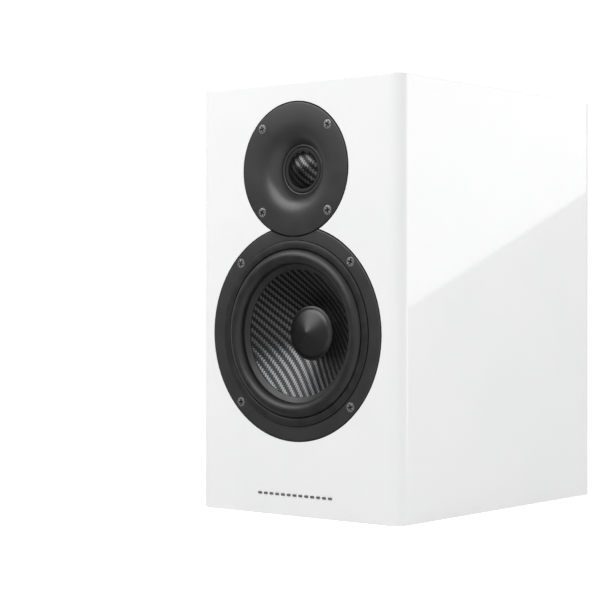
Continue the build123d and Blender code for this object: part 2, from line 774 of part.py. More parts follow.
with BuildPart() as tweeter_top_plate:
    with BuildSketch(facing_front(TOP_PLATE_FRONT)):
        with Locations((0, TWEETER_Z)):
            Circle(TWEETER_BODY - 1)
            Circle(13.9, mode=Mode.SUBTRACT)
    extrude(amount=-(TWEETER_MAGNET_FRONT - TOP_PLATE_FRONT))
finish(tweeter_top_plate, "tweeter_top_plate")

with BuildPart() as tweeter_magnet:
    with BuildSketch(facing_front(TWEETER_MAGNET_FRONT)):
        with Locations((0, TWEETER_Z)):
            Circle(TWEETER_BODY)
            Circle(17, mode=Mode.SUBTRACT)
    extrude(amount=-(TWEETER_MAGNET_BACK - TWEETER_MAGNET_FRONT))
    chamfer(edges().filter_by(GeomType.CIRCLE).filter_by(lambda e: e.radius > 30), 1.0)
finish(tweeter_magnet, "tweeter_magnet")

with BuildPart() as tweeter_back_plate:
    with BuildSketch(facing_front(TWEETER_MAGNET_BACK)):
        with Locations((0, TWEETER_Z)):
            Circle(TWEETER_BODY - 1)
    extrude(amount=-(TWEETER_BACK - TWEETER_MAGNET_BACK))
    with BuildSketch(facing_front(TWEETER_MAGNET_BACK)):
        with Locations((0, TWEETER_Z)):
            Circle(TWEETER_FORMER - 0.4)
    extrude(amount=TWEETER_MAGNET_BACK - TOP_PLATE_FRONT)
finish(tweeter_back_plate, "tweeter_back_plate")

with BuildPart() as tweeter_rear_chamber:
    with BuildSketch(facing_front(TWEETER_BACK)):
        with Locations((0, TWEETER_Z)):
            Circle(29)
    extrude(amount=-17)
    fillet(edges().group_by(Axis.Y)[-1], 4)
    with BuildSketch(facing_front(TWEETER_BACK)):
        with Locations((0, TWEETER_Z)):
            Circle(26.5)
    extrude(amount=-14.5, mode=Mode.SUBTRACT)
finish(tweeter_rear_chamber, "tweeter_rear_chamber")

TWEETER_TAB_X = 7.0
TWEETER_TAB_Z = TWEETER_Z - 33.0

with BuildPart() as tweeter_terminal_block:
    with Locations((0, FRONT + TWEETER_BACK + 4, TWEETER_Z - 32.4)):
        Box(26, 8, 5)
    for x in (-TWEETER_TAB_X, TWEETER_TAB_X):
        with Locations((x, FRONT + TWEETER_BACK + 12.5, TWEETER_TAB_Z)):
            Box(4.8, 9, 0.8)
finish(tweeter_terminal_block, "tweeter_terminal_block")

with BuildPart() as tweeter_screws:
    with Locations(facing_front(-PROUD).location):
        with Locations((0, TWEETER_Z, 0)):
            with PolarLocations(TWEETER_SCREW_CIRCLE, DRIVER_SCREWS, 45):
                add(cross_head_screw(DRIVER_HEAD, DRIVER_SHANK, DRIVER_SCREW_LENGTH))
finish(tweeter_screws, "tweeter_screws")

# ---- Crossover --------------------------------------------------------------------------
with BuildPart() as crossover_board:
    with BuildSketch(Plane.XY.offset(BOARD_Z)):
        with Locations((0, BOARD_MIDDLE)):
            RectangleRounded(BOARD_WIDTH, BOARD_REAR - BOARD_FRONT, 3)
            with GridLocations(2 * SCREW_X, SCREW_REAR - SCREW_FRONT, 2, 2):
                Circle(1.7, mode=Mode.SUBTRACT)
    extrude(amount=BOARD_THICK)
finish(crossover_board, "crossover_board")

# Each coil: centre x, centre y, core radius, winding radius, winding height.
COILS = ((-22.0, 60.0, 9.0, 17.0, 18.0), (-26.0, 91.0, 6.0, 10.0, 11.0))
CHEEK = 1.5

with BuildPart() as crossover_bobbins:
    for x, y, core, winding, height in COILS:
        with BuildSketch(Plane.XY.offset(BOARD_TOP)):
            with Locations((x, y)):
                Circle(winding + 1.5)
                Circle(core - 2, mode=Mode.SUBTRACT)
        extrude(amount=CHEEK)
        with BuildSketch(Plane.XY.offset(BOARD_TOP + CHEEK)):
            with Locations((x, y)):
                Circle(core)
                Circle(core - 2, mode=Mode.SUBTRACT)
        extrude(amount=height)
        with BuildSketch(Plane.XY.offset(BOARD_TOP + CHEEK + height)):
            with Locations((x, y)):
                Circle(winding + 1.5)
                Circle(core - 2, mode=Mode.SUBTRACT)
        extrude(amount=CHEEK)
finish(crossover_bobbins, "crossover_bobbins")

with BuildPart() as crossover_windings:
    for x, y, core, winding, height in COILS:
        with BuildSketch(Plane.XY.offset(BOARD_TOP + CHEEK + 0.05)):
            with Locations((x, y)):
                Circle(winding)
                Circle(core + 0.05, mode=Mode.SUBTRACT)
        extrude(amount=height - 0.1)
finish(crossover_windings, "crossover_windings")

CAPACITOR_RADIUS = 7.0

with BuildPart() as crossover_capacitors:
    for y in (47.0, 62.0, 77.0):
        with BuildSketch(Plane.YZ.offset(3)):
            with Locations((y, BOARD_TOP + CAPACITOR_RADIUS)):
                Circle(CAPACITOR_RADIUS)
        extrude(amount=34)
    fillet(edges().filter_by(GeomType.CIRCLE), 1.0)
finish(crossover_capacitors, "crossover_capacitors")

with BuildPart() as crossover_resistors:
    for y in (88.5, 98.0):
        with Locations((18, y, BOARD_TOP + 4)):
            Box(25, 8, 8)
    chamfer(edges().filter_by(Axis.X), 0.8)
finish(crossover_resistors, "crossover_resistors")

with BuildPart() as crossover_standoffs:
    with BuildSketch(Plane.XY.offset(WALL)):
        with Locations((0, BOARD_MIDDLE)):
            with GridLocations(2 * SCREW_X, SCREW_REAR - SCREW_FRONT, 2, 2):
                Circle(3.5)
                Circle(1.7, mode=Mode.SUBTRACT)
    extrude(amount=BOARD_Z - WALL)
finish(crossover_standoffs, "crossover_standoffs")

with BuildPart() as crossover_screws:
    with BuildSketch(Plane.XY.offset(BOARD_TOP)):
        with Locations((0, BOARD_MIDDLE)):
            with GridLocations(2 * SCREW_X, SCREW_REAR - SCREW_FRONT, 2, 2):
                Circle(2.9)
    extrude(amount=2)
    fillet(edges().group_by(Axis.Z)[-1], 0.9)
    with BuildSketch(Plane.XY.offset(BOARD_TOP)):
        with Locations((0, BOARD_MIDDLE)):
            with GridLocations(2 * SCREW_X, SCREW_REAR - SCREW_FRONT, 2, 2):
                Circle(1.45)
    extrude(amount=-(BOARD_TOP - 5))
finish(crossover_screws, "crossover_screws")

# ---- Terminals --------------------------------------------------------------------------
POST_HOLE = 5.0

with BuildPart() as terminal_plate:
    with BuildSketch(facing_rear()):
        with Locations((0, TERMINAL_Z)):
            RectangleRounded(TERMINAL_WIDTH, TERMINAL_HEIGHT, 6)
            with GridLocations(POST_PITCH, 1, 2, 1):
                Circle(POST_HOLE, mode=Mode.SUBTRACT)
    extrude(amount=TERMINAL_THICK)
    with Locations(facing_rear(TERMINAL_THICK).location):
        with Locations((0, TERMINAL_Z, 0)):
            with GridLocations(2 * TERMINAL_SCREW_X, 2 * TERMINAL_SCREW_Z, 2, 2):
                CounterSinkHole(TERMINAL_PILOT, TERMINAL_HEAD + SINK_GAP, 4, 90)
finish(terminal_plate, "terminal_plate")

with BuildPart() as terminal_screws:
    with Locations(facing_rear(TERMINAL_THICK).location):
        with Locations((0, TERMINAL_Z, 0)):
            with GridLocations(2 * TERMINAL_SCREW_X, 2 * TERMINAL_SCREW_Z, 2, 2):
                add(cross_head_screw(TERMINAL_HEAD, TERMINAL_SHANK, 15.0))
finish(terminal_screws, "terminal_screws")

PLATE_FACE = REAR + TERMINAL_THICK
FLANGE_RADIUS = 8.5            # insulator's flange, on both faces of the panel
FLANGE_THICK = 2.5
INNER_FLANGE = 3.0
COLLAR_RADIUS = 6.5
COLLAR_FRONT = PLATE_FACE + FLANGE_THICK
COLLAR_BACK = COLLAR_FRONT + 2.0
BUSH_BORE = POST_THREAD + 0.1

with BuildPart() as post_insulators:
    for x in (-POST_PITCH / 2, POST_PITCH / 2):
        with BuildSketch(post_frame(x, REAR - INNER_FLANGE)):
            Circle(FLANGE_RADIUS)
            Circle(BUSH_BORE, mode=Mode.SUBTRACT)
        extrude(amount=INNER_FLANGE)
        with BuildSketch(post_frame(x, REAR)):
            Circle(POST_HOLE - CLEAR)
            Circle(BUSH_BORE, mode=Mode.SUBTRACT)
        extrude(amount=TERMINAL_THICK)
        with BuildSketch(post_frame(x, PLATE_FACE)):
            Circle(FLANGE_RADIUS)
            Circle(BUSH_BORE, mode=Mode.SUBTRACT)
        extrude(amount=FLANGE_THICK)
    outermost = edges().group_by(Axis.Y)[-1].filter_by(GeomType.CIRCLE)
    fillet(outermost.filter_by(lambda e: e.radius > 8), 0.8)
finish(post_insulators, "post_insulators")

STUD_START = REAR - 14.0
BANANA_RADIUS = 2.05
BANANA_DEPTH = 18.0
WIRE_HOLE_RADIUS = 2.0

with BuildPart() as post_studs:
    for x in (-POST_PITCH / 2, POST_PITCH / 2):
        with BuildSketch(post_frame(x, STUD_START)):
            Circle(POST_THREAD)
        extrude(amount=POST_END - STUD_START)
        with BuildSketch(post_frame(x, COLLAR_FRONT)):
            Circle(COLLAR_RADIUS)
        extrude(amount=COLLAR_BACK - COLLAR_FRONT)
        with BuildSketch(post_frame(x, POST_END)):
            Circle(BANANA_RADIUS)
        extrude(amount=-BANANA_DEPTH, mode=Mode.SUBTRACT)
        with Locations((x, WIRE_HOLE_Y, TERMINAL_Z)):
            Cylinder(WIRE_HOLE_RADIUS, 4 * POST_THREAD, mode=Mode.SUBTRACT)
finish(post_studs, "post_studs")

NUT_THICK = 4.5
NUT_CORNER = 7.4

with BuildPart() as post_nuts:
    for x in (-POST_PITCH / 2, POST_PITCH / 2):
        with BuildSketch(post_frame(x, REAR - INNER_FLANGE - NUT_THICK)):
            RegularPolygon(NUT_CORNER, 6)
            Circle(POST_THREAD + 0.05, mode=Mode.SUBTRACT)
        extrude(amount=NUT_THICK)
finish(post_nuts, "post_nuts")

TAG_Y = REAR - 9.0

with BuildPart() as post_solder_tags:
    for x in (-POST_PITCH / 2, POST_PITCH / 2):
        with BuildSketch(post_frame(x, TAG_Y)):
            Circle(6.5)
            with Locations((0, -9)):
                Rectangle(4.5, 12)
            Circle(POST_THREAD + 0.05, mode=Mode.SUBTRACT)
        extrude(amount=0.8)
finish(post_solder_tags, "post_solder_tags")

KNOB_RADIUS = 8.0
KNOB_BORE = POST_THREAD + 0.3  # leaves a wire's own room in the cross hole with the cap closed
WASHER_FRONT = COLLAR_BACK + 0.3
WASHER_THICK = 1.4
WASHER_RADIUS = 7.2
KNOB_FRONT = WASHER_FRONT + WASHER_THICK + 0.3
KNOB_BACK = POST_END + 1.5
KNOB_FLUTES = 20
INSERT_RADIUS = 6.0

for colour, x in (("red", POST_PITCH / 2), ("black", -POST_PITCH / 2)):
    with BuildPart() as post_washer:
        with BuildSketch(post_frame(x, WASHER_FRONT)):
            Circle(WASHER_RADIUS)
            Circle(KNOB_BORE, mode=Mode.SUBTRACT)
        extrude(amount=WASHER_THICK)
    finish(post_washer, f"{colour}_post_washer")

    with BuildPart() as post_insert:
        with BuildSketch(post_frame(x, KNOB_FRONT)):
            Circle(INSERT_RADIUS)
            Circle(KNOB_BORE, mode=Mode.SUBTRACT)
        extrude(amount=KNOB_BACK - KNOB_FRONT)
    finish(post_insert, f"{colour}_post_insert")

    with BuildPart() as post_knob:
        with BuildSketch(post_frame(x, KNOB_FRONT)):
            Circle(KNOB_RADIUS)
        extrude(amount=KNOB_BACK - KNOB_FRONT)
        chamfer(edges(), 0.7)
        with BuildSketch(post_frame(x, KNOB_FRONT)):
            Circle(INSERT_RADIUS + 0.02)
        extrude(amount=KNOB_BACK - KNOB_FRONT, mode=Mode.SUBTRACT)
        with BuildSketch(post_frame(x, KNOB_FRONT + 2.5)):
            with PolarLocations(KNOB_RADIUS + 0.35, KNOB_FLUTES):
                Circle(0.9)
        extrude(amount=KNOB_BACK - KNOB_FRONT - 7.5, mode=Mode.SUBTRACT)
    finish(post_knob, f"{colour}_post_knob")

# ---- Internal wiring --------------------------------------------------------------------
LAND = BOARD_TOP + 0.05        # where a lead meets the board

with BuildPart() as input_leads:
    for x in (-POST_PITCH / 2, POST_PITCH / 2):
        route = [
            (x, TAG_Y - 0.05, TERMINAL_Z - 12.0),
            (x, TAG_Y - 8.5, TERMINAL_Z - 12.5),
            (x * 0.95, 106.5, TERMINAL_Z - 20.0),
            (x * 0.85, 105.0, TERMINAL_Z - 30.0),
            (x * 0.85, 105.0, LAND),
        ]
        add(lead(route))
finish(input_leads, "input_leads")

WOOFER_LEAD_END = FRONT + 51.0

with BuildPart() as woofer_leads:
    for side, lift in ((-1, 0.0), (1, 3.0)):
        route = [
            (5.0 * side, 31.0, LAND),
            (5.0 * side, 31.0, 44.0 + lift),
            (6.0 * side, 18.0, 56.0 + lift),
            (7.0 * side, -4.0, 61.0 + lift),
            (8.0 * side, -30.0, 66.0 + lift),
            (TAB_X * side, -54.0, 76.0),
            (TAB_X * side, WOOFER_LEAD_END + 0.3, STRIP_Z - 2.0),
        ]
        add(lead(route))
finish(woofer_leads, "woofer_leads")

TWEETER_LEAD_END = FRONT + TWEETER_BACK + 17.0

with BuildPart() as tweeter_leads:
    for side in (-1, 1):
        route = [
            (44.0 + 2.2 * side, 40.0, LAND),
            (44.0 + 2.2 * side, 40.0, 52.0),
            (43.0 + 2.2 * side, 26.0, 78.0),
            (40.0 + 2.2 * side, 2.0, 102.0),
            (35.0 + 2.6 * side, -22.0, 138.0),
            (26.0 + 3.4 * side, -40.0, 176.0),
            (12.0 + 5.0 * side, -58.0, 205.0),
            (TWEETER_TAB_X * side, -72.0, 213.0),
            (TWEETER_TAB_X * side, TWEETER_LEAD_END + 0.3, TWEETER_TAB_Z),
        ]
        add(lead(route))
finish(tweeter_leads, "tweeter_leads")
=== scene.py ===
import math

import bpy
from mathutils import Matrix, Vector, noise
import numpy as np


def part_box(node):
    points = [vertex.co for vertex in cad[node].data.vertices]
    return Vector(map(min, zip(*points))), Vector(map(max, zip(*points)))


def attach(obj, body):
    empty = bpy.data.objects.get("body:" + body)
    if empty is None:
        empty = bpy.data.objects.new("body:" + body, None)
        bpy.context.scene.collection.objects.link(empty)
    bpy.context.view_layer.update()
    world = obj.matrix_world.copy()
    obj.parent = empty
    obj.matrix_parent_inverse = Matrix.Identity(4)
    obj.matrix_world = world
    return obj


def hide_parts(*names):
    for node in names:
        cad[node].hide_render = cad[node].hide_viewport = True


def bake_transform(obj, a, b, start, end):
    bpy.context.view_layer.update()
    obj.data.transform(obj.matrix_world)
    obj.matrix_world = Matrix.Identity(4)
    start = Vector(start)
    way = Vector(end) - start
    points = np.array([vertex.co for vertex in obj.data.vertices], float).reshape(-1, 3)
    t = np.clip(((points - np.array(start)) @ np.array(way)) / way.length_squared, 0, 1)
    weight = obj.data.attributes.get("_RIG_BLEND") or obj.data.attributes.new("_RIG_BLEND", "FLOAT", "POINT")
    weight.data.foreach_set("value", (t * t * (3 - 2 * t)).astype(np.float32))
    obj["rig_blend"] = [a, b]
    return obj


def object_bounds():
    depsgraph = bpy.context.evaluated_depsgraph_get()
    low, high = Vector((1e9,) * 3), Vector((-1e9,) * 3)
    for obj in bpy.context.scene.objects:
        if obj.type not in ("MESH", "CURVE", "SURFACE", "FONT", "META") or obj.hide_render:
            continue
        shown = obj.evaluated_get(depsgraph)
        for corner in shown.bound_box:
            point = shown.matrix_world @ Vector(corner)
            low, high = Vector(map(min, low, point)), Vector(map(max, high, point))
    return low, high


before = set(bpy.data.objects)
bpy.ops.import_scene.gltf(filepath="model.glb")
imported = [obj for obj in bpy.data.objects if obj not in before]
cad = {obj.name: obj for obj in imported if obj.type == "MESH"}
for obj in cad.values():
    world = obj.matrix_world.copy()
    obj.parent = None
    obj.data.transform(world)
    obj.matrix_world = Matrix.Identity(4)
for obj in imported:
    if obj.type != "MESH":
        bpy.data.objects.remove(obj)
cad_low, cad_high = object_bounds()
MM = 0.001

# ---- Cabinet ------------------------------------------------------------------------------
# Six fibreboard panels, glued up, rounded on their upright edges and sprayed with white gloss
# lacquer, which is flatted and polished so that no joint shows.
# The CAD panels keep their shape. Only the finish is made here.


def finish_for(name, colour, roughness, metallic=0.0):
    """A new material with its plain values set on the shader, ready for its own detail."""
    material = bpy.data.materials.new(name)
    material.use_nodes = True
    shader = material.node_tree.nodes["Principled BSDF"]
    shader.inputs["Base Color"].default_value = (*colour, 1.0)
    shader.inputs["Roughness"].default_value = roughness
    shader.inputs["Metallic"].default_value = metallic
    return material, shader


def add_node(material, kind, **values):
    """A node in the material, with its settings and the values of its named inputs."""
    node = material.node_tree.nodes.new(kind)
    for key, value in values.items():
        if key in node.inputs:
            node.inputs[key].default_value = value
        else:
            setattr(node, key, value)
    return node


def join_up(material, output, target):
    material.node_tree.links.new(output, target)


def maths(material, operation, first, second=None, third=None):
    """A Math node on sockets or plain numbers, returning its output."""
    node = add_node(material, "ShaderNodeMath", operation=operation)
    for index, value in enumerate((first, second, third)):
        if value is None:
            continue
        if isinstance(value, (int, float)):
            node.inputs[index].default_value = value
        else:
            join_up(material, value, node.inputs[index])
    return node.outputs[0]


def object_place(material):
    return add_node(material, "ShaderNodeTexCoord").outputs["Object"]


def noise_of(material, size, detail=2.0, place=None):
    """Noise whose features are about size metres across."""
    pattern = add_node(material, "ShaderNodeTexNoise", Scale=1.0 / size, Detail=detail)
    join_up(material, place or object_place(material), pattern.inputs["Vector"])
    return pattern.outputs["Fac"]


def spread(material, source, low, high):
    """The source, about 0.3 to 0.7, stretched to run from low to high."""
    node = add_node(material, "ShaderNodeMapRange")
    node.inputs["From Min"].default_value = 0.3
    node.inputs["From Max"].default_value = 0.7
    node.inputs["To Min"].default_value = low
    node.inputs["To Max"].default_value = high
    join_up(material, source, node.inputs["Value"])
    return node.outputs["Result"]


def tint(material, source, dark, light, target):
    """Colours the target from dark to light by the source."""
    mix = add_node(material, "ShaderNodeMix", data_type="RGBA")
    mix.inputs[6].default_value = (*dark, 1.0)
    mix.inputs[7].default_value = (*light, 1.0)
    join_up(material, source, mix.inputs["Factor"])
    join_up(material, mix.outputs[2], target)
    return mix.outputs[2]


def relief(material, shader, height, depth, normal=None):
    """Bumps the shader by the height, whose full swing stands for depth metres."""
    bump = add_node(material, "ShaderNodeBump", Strength=1.0, Distance=depth)
    join_up(material, height, bump.inputs["Height"])
    if normal is not None:
        join_up(material, normal, bump.inputs["Normal"])
    join_up(material, bump.outputs["Normal"], shader.inputs["Normal"])
    return bump.outputs["Normal"]


def dress(name, material):
    """Gives a carried-over CAD node its finish."""
    node = cad[name]
    node.data.materials.clear()
    node.data.materials.append(material)


def white_lacquer(name):
    """Gloss white over a faint cloudiness and orange peel. Returns what the painted shade in its rebates
    needs too.
    """
    material, shader = finish_for(name, (0.70, 0.702, 0.705), 0.30)
    shader.inputs["Coat Weight"].default_value = 1.0
    shader.inputs["Coat Roughness"].default_value = 0.035
    shader.inputs["Coat IOR"].default_value = 1.52
    cloud = noise_of(material, 0.060)
    mix = tint(material, spread(material, cloud, 0.0, 1.0), (0.692, 0.694, 0.698),
               (0.71, 0.71, 0.71), shader.inputs["Base Color"])
    flow = noise_of(material, 0.0035, 1.0)
    relief(material, shader, flow, 0.0000025)
    return material, shader, mix


def paint_rebate_shade(material, shader, white, rebates):
    """Painted shade: colours the baffle's rebates, behind its face, near black, for the shade in the gaps
    round the plates.
    """
    split = add_node(material, "ShaderNodeSeparateXYZ")
    join_up(material, object_place(material), split.inputs[0])
    across = maths(material, "POWER", split.outputs["X"], 2.0)
    inside = None
    for height, radius in rebates:
        up = maths(material, "SUBTRACT", split.outputs["Z"], height)
        squared = maths(material, "MULTIPLY_ADD", up, up, across)
        near = maths(material, "LESS_THAN", squared, radius * radius)
        inside = near if inside is None else maths(material, "MAXIMUM", inside, near)
    behind = maths(material, "GREATER_THAN", split.outputs["Y"], front + 0.00015)
    # Painted shade: near black inside the rebates, where the gaps round the plates fall in shade.
    blend = add_node(material, "ShaderNodeMix", data_type="RGBA")
    join_up(material, maths(material, "MULTIPLY", inside, behind), blend.inputs["Factor"])
    join_up(material, white, blend.inputs[6])
    blend.inputs[7].default_value = (0.010, 0.010, 0.010, 1.0)
    join_up(material, blend.outputs[2], shader.inputs["Base Color"])


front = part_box("front_baffle")[0].y
lacquer, _, _ = white_lacquer("white_gloss_lacquer")
for panel in ("rear_panel", "left_side_panel", "right_side_panel", "top_panel", "bottom_panel"):
    dress(panel, lacquer)
baffle_lacquer, baffle_shader, baffle_white = white_lacquer("white_gloss_baffle")
rebates = []
for plate in ("woofer_basket", "tweeter_waveguide"):
    plate_low, plate_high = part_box(plate)
    recess_radius = (plate_high.x - plate_low.x) / 2
    rebates.append((plate_high.z - recess_radius if plate == "tweeter_waveguide"
                    else plate_low.z + recess_radius, recess_radius + 0.0008))
# Painted shade in the rebates round the woofer's and tweeter's plates.
paint_rebate_shade(baffle_lacquer, baffle_shader, baffle_white, rebates)
dress("front_baffle", baffle_lacquer)

# ---- Woofer basket ------------------------------------------------------------------------
# One aluminium casting, powder coated satin black. Its face ring stands 0.6 mm out of the
# baffle, is cut away for the tweeter's plate, and carries six spokes back to the motor.
RINGS = 192


def middle_height(name):
    """Height of a round CAD node's axis."""
    low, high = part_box(name)
    return (low.z + high.z) / 2


def deepest(name):
    """How far a CAD node's rear face lies behind the baffle's face, in millimetres."""
    return (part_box(name)[1].y - front) / MM


def foremost(name):
    """How far a CAD node's front lies behind the baffle's face, in millimetres."""
    return (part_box(name)[0].y - front) / MM


def widest(name):
    """Radius of a round CAD node, in millimetres."""
    low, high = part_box(name)
    return (high.x - low.x) / 2 / MM


def arc_through(first, middle, last, count):
    """Points along the circular arc through three points of an outline."""
    (ax, ay), (bx, by), (cx, cy) = first, middle, last
    cross = 2 * (ax * (by - cy) + bx * (cy - ay) + cx * (ay - by))
    squares = [x * x + y * y for x, y in (first, middle, last)]
    px = (squares[0] * (by - cy) + squares[1] * (cy - ay) + squares[2] * (ay - by)) / cross
    py = (squares[0] * (cx - bx) + squares[1] * (ax - cx) + squares[2] * (bx - ax)) / cross
    radius = math.hypot(ax - px, ay - py)
    start, half, end = (math.atan2(y - py, x - px) for x, y in (first, middle, last))
    sweep = (end - start) % math.tau
    if (half - start) % math.tau > sweep:
        sweep -= math.tau
    turns = [start + sweep * step / count for step in range(count + 1)]
    return [(px + radius * math.cos(a), py + radius * math.sin(a)) for a in turns]


def alone(piece):
    """Selects one object and makes it active."""
    bpy.ops.object.select_all(action="DESELECT")
    piece.select_set(True)
    bpy.context.view_layer.objects.active = piece


def close_up(piece, angle=35.0):
    """Merges doubles, points the faces outwards and shades the piece smooth up to an angle."""
    alone(piece)
    bpy.ops.object.mode_set(mode="EDIT")
    bpy.ops.mesh.select_all(action="SELECT")
    bpy.ops.mesh.remove_doubles(threshold=0.000002)
    bpy.ops.mesh.normals_make_consistent(inside=False)
    bpy.ops.object.mode_set(mode="OBJECT")
    bpy.ops.object.shade_smooth_by_angle(angle=math.radians(angle))


def draw_ring(height, start, stations):
    """From the selected ring at start, extrudes ring after ring along the stations."""
    radius, depth = start
    for next_radius, next_depth in stations:
        step = (0.0, (next_depth - depth) * MM, 0.0)
        bpy.ops.mesh.extrude_edges_move(TRANSFORM_OT_translate={"value": step})
        share = next_radius / radius
        pivot = (0.0, front + next_depth * MM, height)
        bpy.ops.transform.resize(value=(share, 1.0, share), center_override=pivot)
        radius, depth = next_radius, next_depth


def turned(name, height, outline, closed=True, rings=RINGS, angle=35.0):
    """A piece turned about a driver's axis, from its outline of (radius, depth) in millimetres.
    A closed outline returns to its first point. One that isn't starts and ends on the axis."""
    bpy.ops.object.select_all(action="DESELECT")
    first = outline[0] if closed else outline[1]
    place = (0.0, front + first[1] * MM, height)
    bpy.ops.mesh.primitive_circle_add(
        vertices=rings, radius=first[0] * MM, location=place, rotation=(math.pi / 2, 0.0, 0.0)
    )
    piece = bpy.context.object
    piece.name = name
    bpy.ops.object.transform_apply(location=True, rotation=True, scale=True)
    bpy.ops.object.mode_set(mode="EDIT")
    bpy.ops.mesh.select_all(action="SELECT")
    if closed:
        draw_ring(height, first, outline[1:] + outline[:1])
    else:
        draw_ring(height, first, outline[2:])
        bpy.ops.mesh.select_all(action="DESELECT")
        bpy.ops.object.mode_set(mode="OBJECT")
        for vertex in piece.data.vertices[:rings]:
            vertex.select = True
        bpy.ops.object.mode_set(mode="EDIT")
        draw_ring(height, first, outline[:1])
    bpy.ops.object.mode_set(mode="OBJECT")
    close_up(piece, angle)
    return piece


def cut_away(piece, cutter):
    """Cuts one closed shape out of a piece, and removes the shape."""
    alone(piece)
    modifier = piece.modifiers.new("cut", "BOOLEAN")
    modifier.object = cutter
    modifier.operation = "DIFFERENCE"
    modifier.solver = "EXACT"
    bpy.ops.object.modifier_apply(modifier="cut")
    bpy.data.objects.remove(cutter)


def joined(pieces, name):
    """Joins pieces into one, named."""
    bpy.ops.object.select_all(action="DESELECT")
    for piece in pieces:
        piece.select_set(True)
    bpy.context.view_layer.objects.active = pieces[0]
    bpy.ops.object.join()
    pieces[0].name = name
    return pieces[0]


def stand_in(piece, body, slot, material, *nodes):
    """Puts a finished piece in place of CAD nodes, on their body."""
    piece.data.materials.clear()
    piece.data.materials.append(material)
    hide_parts(*nodes)
    if body:
        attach(piece, body)


def corners_of(circle, height):
    """The four screw places of a driver plate, at 45 degrees, as (x, z) in metres."""
    half = circle * MM / math.sqrt(2)
    return [(x, height + z) for x in (-half, half) for z in (-half, half)]


def screw_holes(piece, places, head, shank, face):
    """Cuts a countersunk hole through a driver plate at each place."""
    cutters = []
    for x, z in places:
        sink = [(0.0, face - 1.0), (head + 1.0, face - 1.0), (shank, face + head - shank),
                (shank, face + 9.0), (0.0, face + 9.0)]
        cutter = turned("sink", 0.0, sink, closed=False, rings=48)
        cutter.location = (x, 0.0, z)
        cutters.append(cutter)
    cutter = joined(cutters, "sinks")
    alone(cutter)
    bpy.ops.object.transform_apply(location=True, rotation=True, scale=True)
    cut_away(piece, cutter)


def satin_black(name, colour, roughness, grain, depth):
    """Powder coat or a moulded satin surface: fine orange peel and slightly uneven shine."""
    material, shader = finish_for(name, colour, roughness)
    patches = noise_of(material, 0.018)
    join_up(material, spread(material, patches, roughness - 0.03, roughness + 0.04),
            shader.inputs["Roughness"])
    dark = tuple(0.92 * c for c in colour)
    light = tuple(1.10 * c for c in colour)
    tint(material, spread(material, patches, 0.0, 1.0), dark, light, shader.inputs["Base Color"])
    shader.inputs["Specular IOR Level"].default_value = 0.75
    relief(material, shader, noise_of(material, grain, 3.0), depth)
    return material


woofer_height = middle_height("woofer_magnet")
tweeter_height = middle_height("tweeter_magnet")
PLATE_FACE = -0.6
plate_radius = widest("woofer_basket") - 0.4
seat_radius = widest("woofer_surround") + 0.3
flange_back = foremost("woofer_gasket")
bed_back = deepest("woofer_basket")
basket_outline = (
    [(57.5, 0.4), (seat_radius, 0.4), (seat_radius, -0.45), (seat_radius + 0.15, PLATE_FACE)]
    + arc_through((plate_radius - 0.8, PLATE_FACE), (plate_radius - 0.234, PLATE_FACE + 0.234),
                  (plate_radius, PLATE_FACE + 0.8), 6)
    + [(plate_radius, flange_back - 0.3), (plate_radius - 0.3, flange_back), (59.4, flange_back),
       (48.5, bed_back - 9.0), (48.0, bed_back - 7.0), (48.0, bed_back - 1.0),
       (47.0, bed_back), (22.0, bed_back), (22.0, bed_back - 4.0), (41.5, bed_back - 4.0),
       (41.5, bed_back - 7.0), (45.0, bed_back - 7.0), (56.0, flange_back + 2.0),
       (57.5, flange_back)]
)
basket = turned("woofer_basket_casting", woofer_height, basket_outline)
windows = []
for number in range(6):
    turn = math.radians(30 + 60 * number)
    bpy.ops.object.select_all(action="DESELECT")
    bpy.ops.mesh.primitive_cube_add(
        size=1.0,
        location=(0.052 * math.cos(turn), front + 0.018, woofer_height + 0.052 * math.sin(turn)),
        rotation=(0.0, -turn, 0.0),
        scale=(0.026, 0.019, 0.036),
    )
    window = bpy.context.object
    bpy.ops.object.transform_apply(location=True, rotation=True, scale=True)
    bpy.ops.object.mode_set(mode="EDIT")
    bpy.ops.mesh.bevel(offset=0.003, segments=4, affect="EDGES")
    bpy.ops.object.mode_set(mode="OBJECT")
    windows.append(window)
cut_away(basket, joined(windows, "windows"))
bpy.ops.object.select_all(action="DESELECT")
tweeter_radius = widest("tweeter_waveguide") - 0.4
bpy.ops.mesh.primitive_cylinder_add(
    vertices=RINGS, radius=(tweeter_radius + 0.8) * MM, depth=0.02,
    location=(0.0, front, tweeter_height), rotation=(math.pi / 2, 0.0, 0.0),
)
cut_away(basket, bpy.context.object)
WOOFER_SCREWS = 71.7
HEAD = 3.4
woofer_places = corners_of(WOOFER_SCREWS, woofer_height)
screw_holes(basket, woofer_places, HEAD, 2.1, PLATE_FACE)
bpy.ops.object.select_all(action="DESELECT")
bpy.ops.mesh.primitive_cube_add(
    size=1.0, location=(0.0, front + (bed_back - 3.5) * MM, woofer_height - 0.0465),
    scale=(0.032, 0.007, 0.005),
)
shelf = bpy.context.object
bpy.ops.object.transform_apply(location=True, rotation=True, scale=True)
bpy.ops.object.mode_set(mode="EDIT")
bpy.ops.mesh.bevel(offset=0.0005, segments=2, affect="EDGES")
bpy.ops.object.mode_set(mode="OBJECT")
basket = joined([basket, shelf], "woofer_basket_casting")
alone(basket)
bpy.ops.object.shade_smooth_by_angle(angle=math.radians(30))
powder_coat = satin_black("satin_black_powder_coat", (0.017, 0.017, 0.018), 0.38, 0.0006, 0.000012)
stand_in(basket, "root", "driver_black", powder_coat, "woofer_basket")

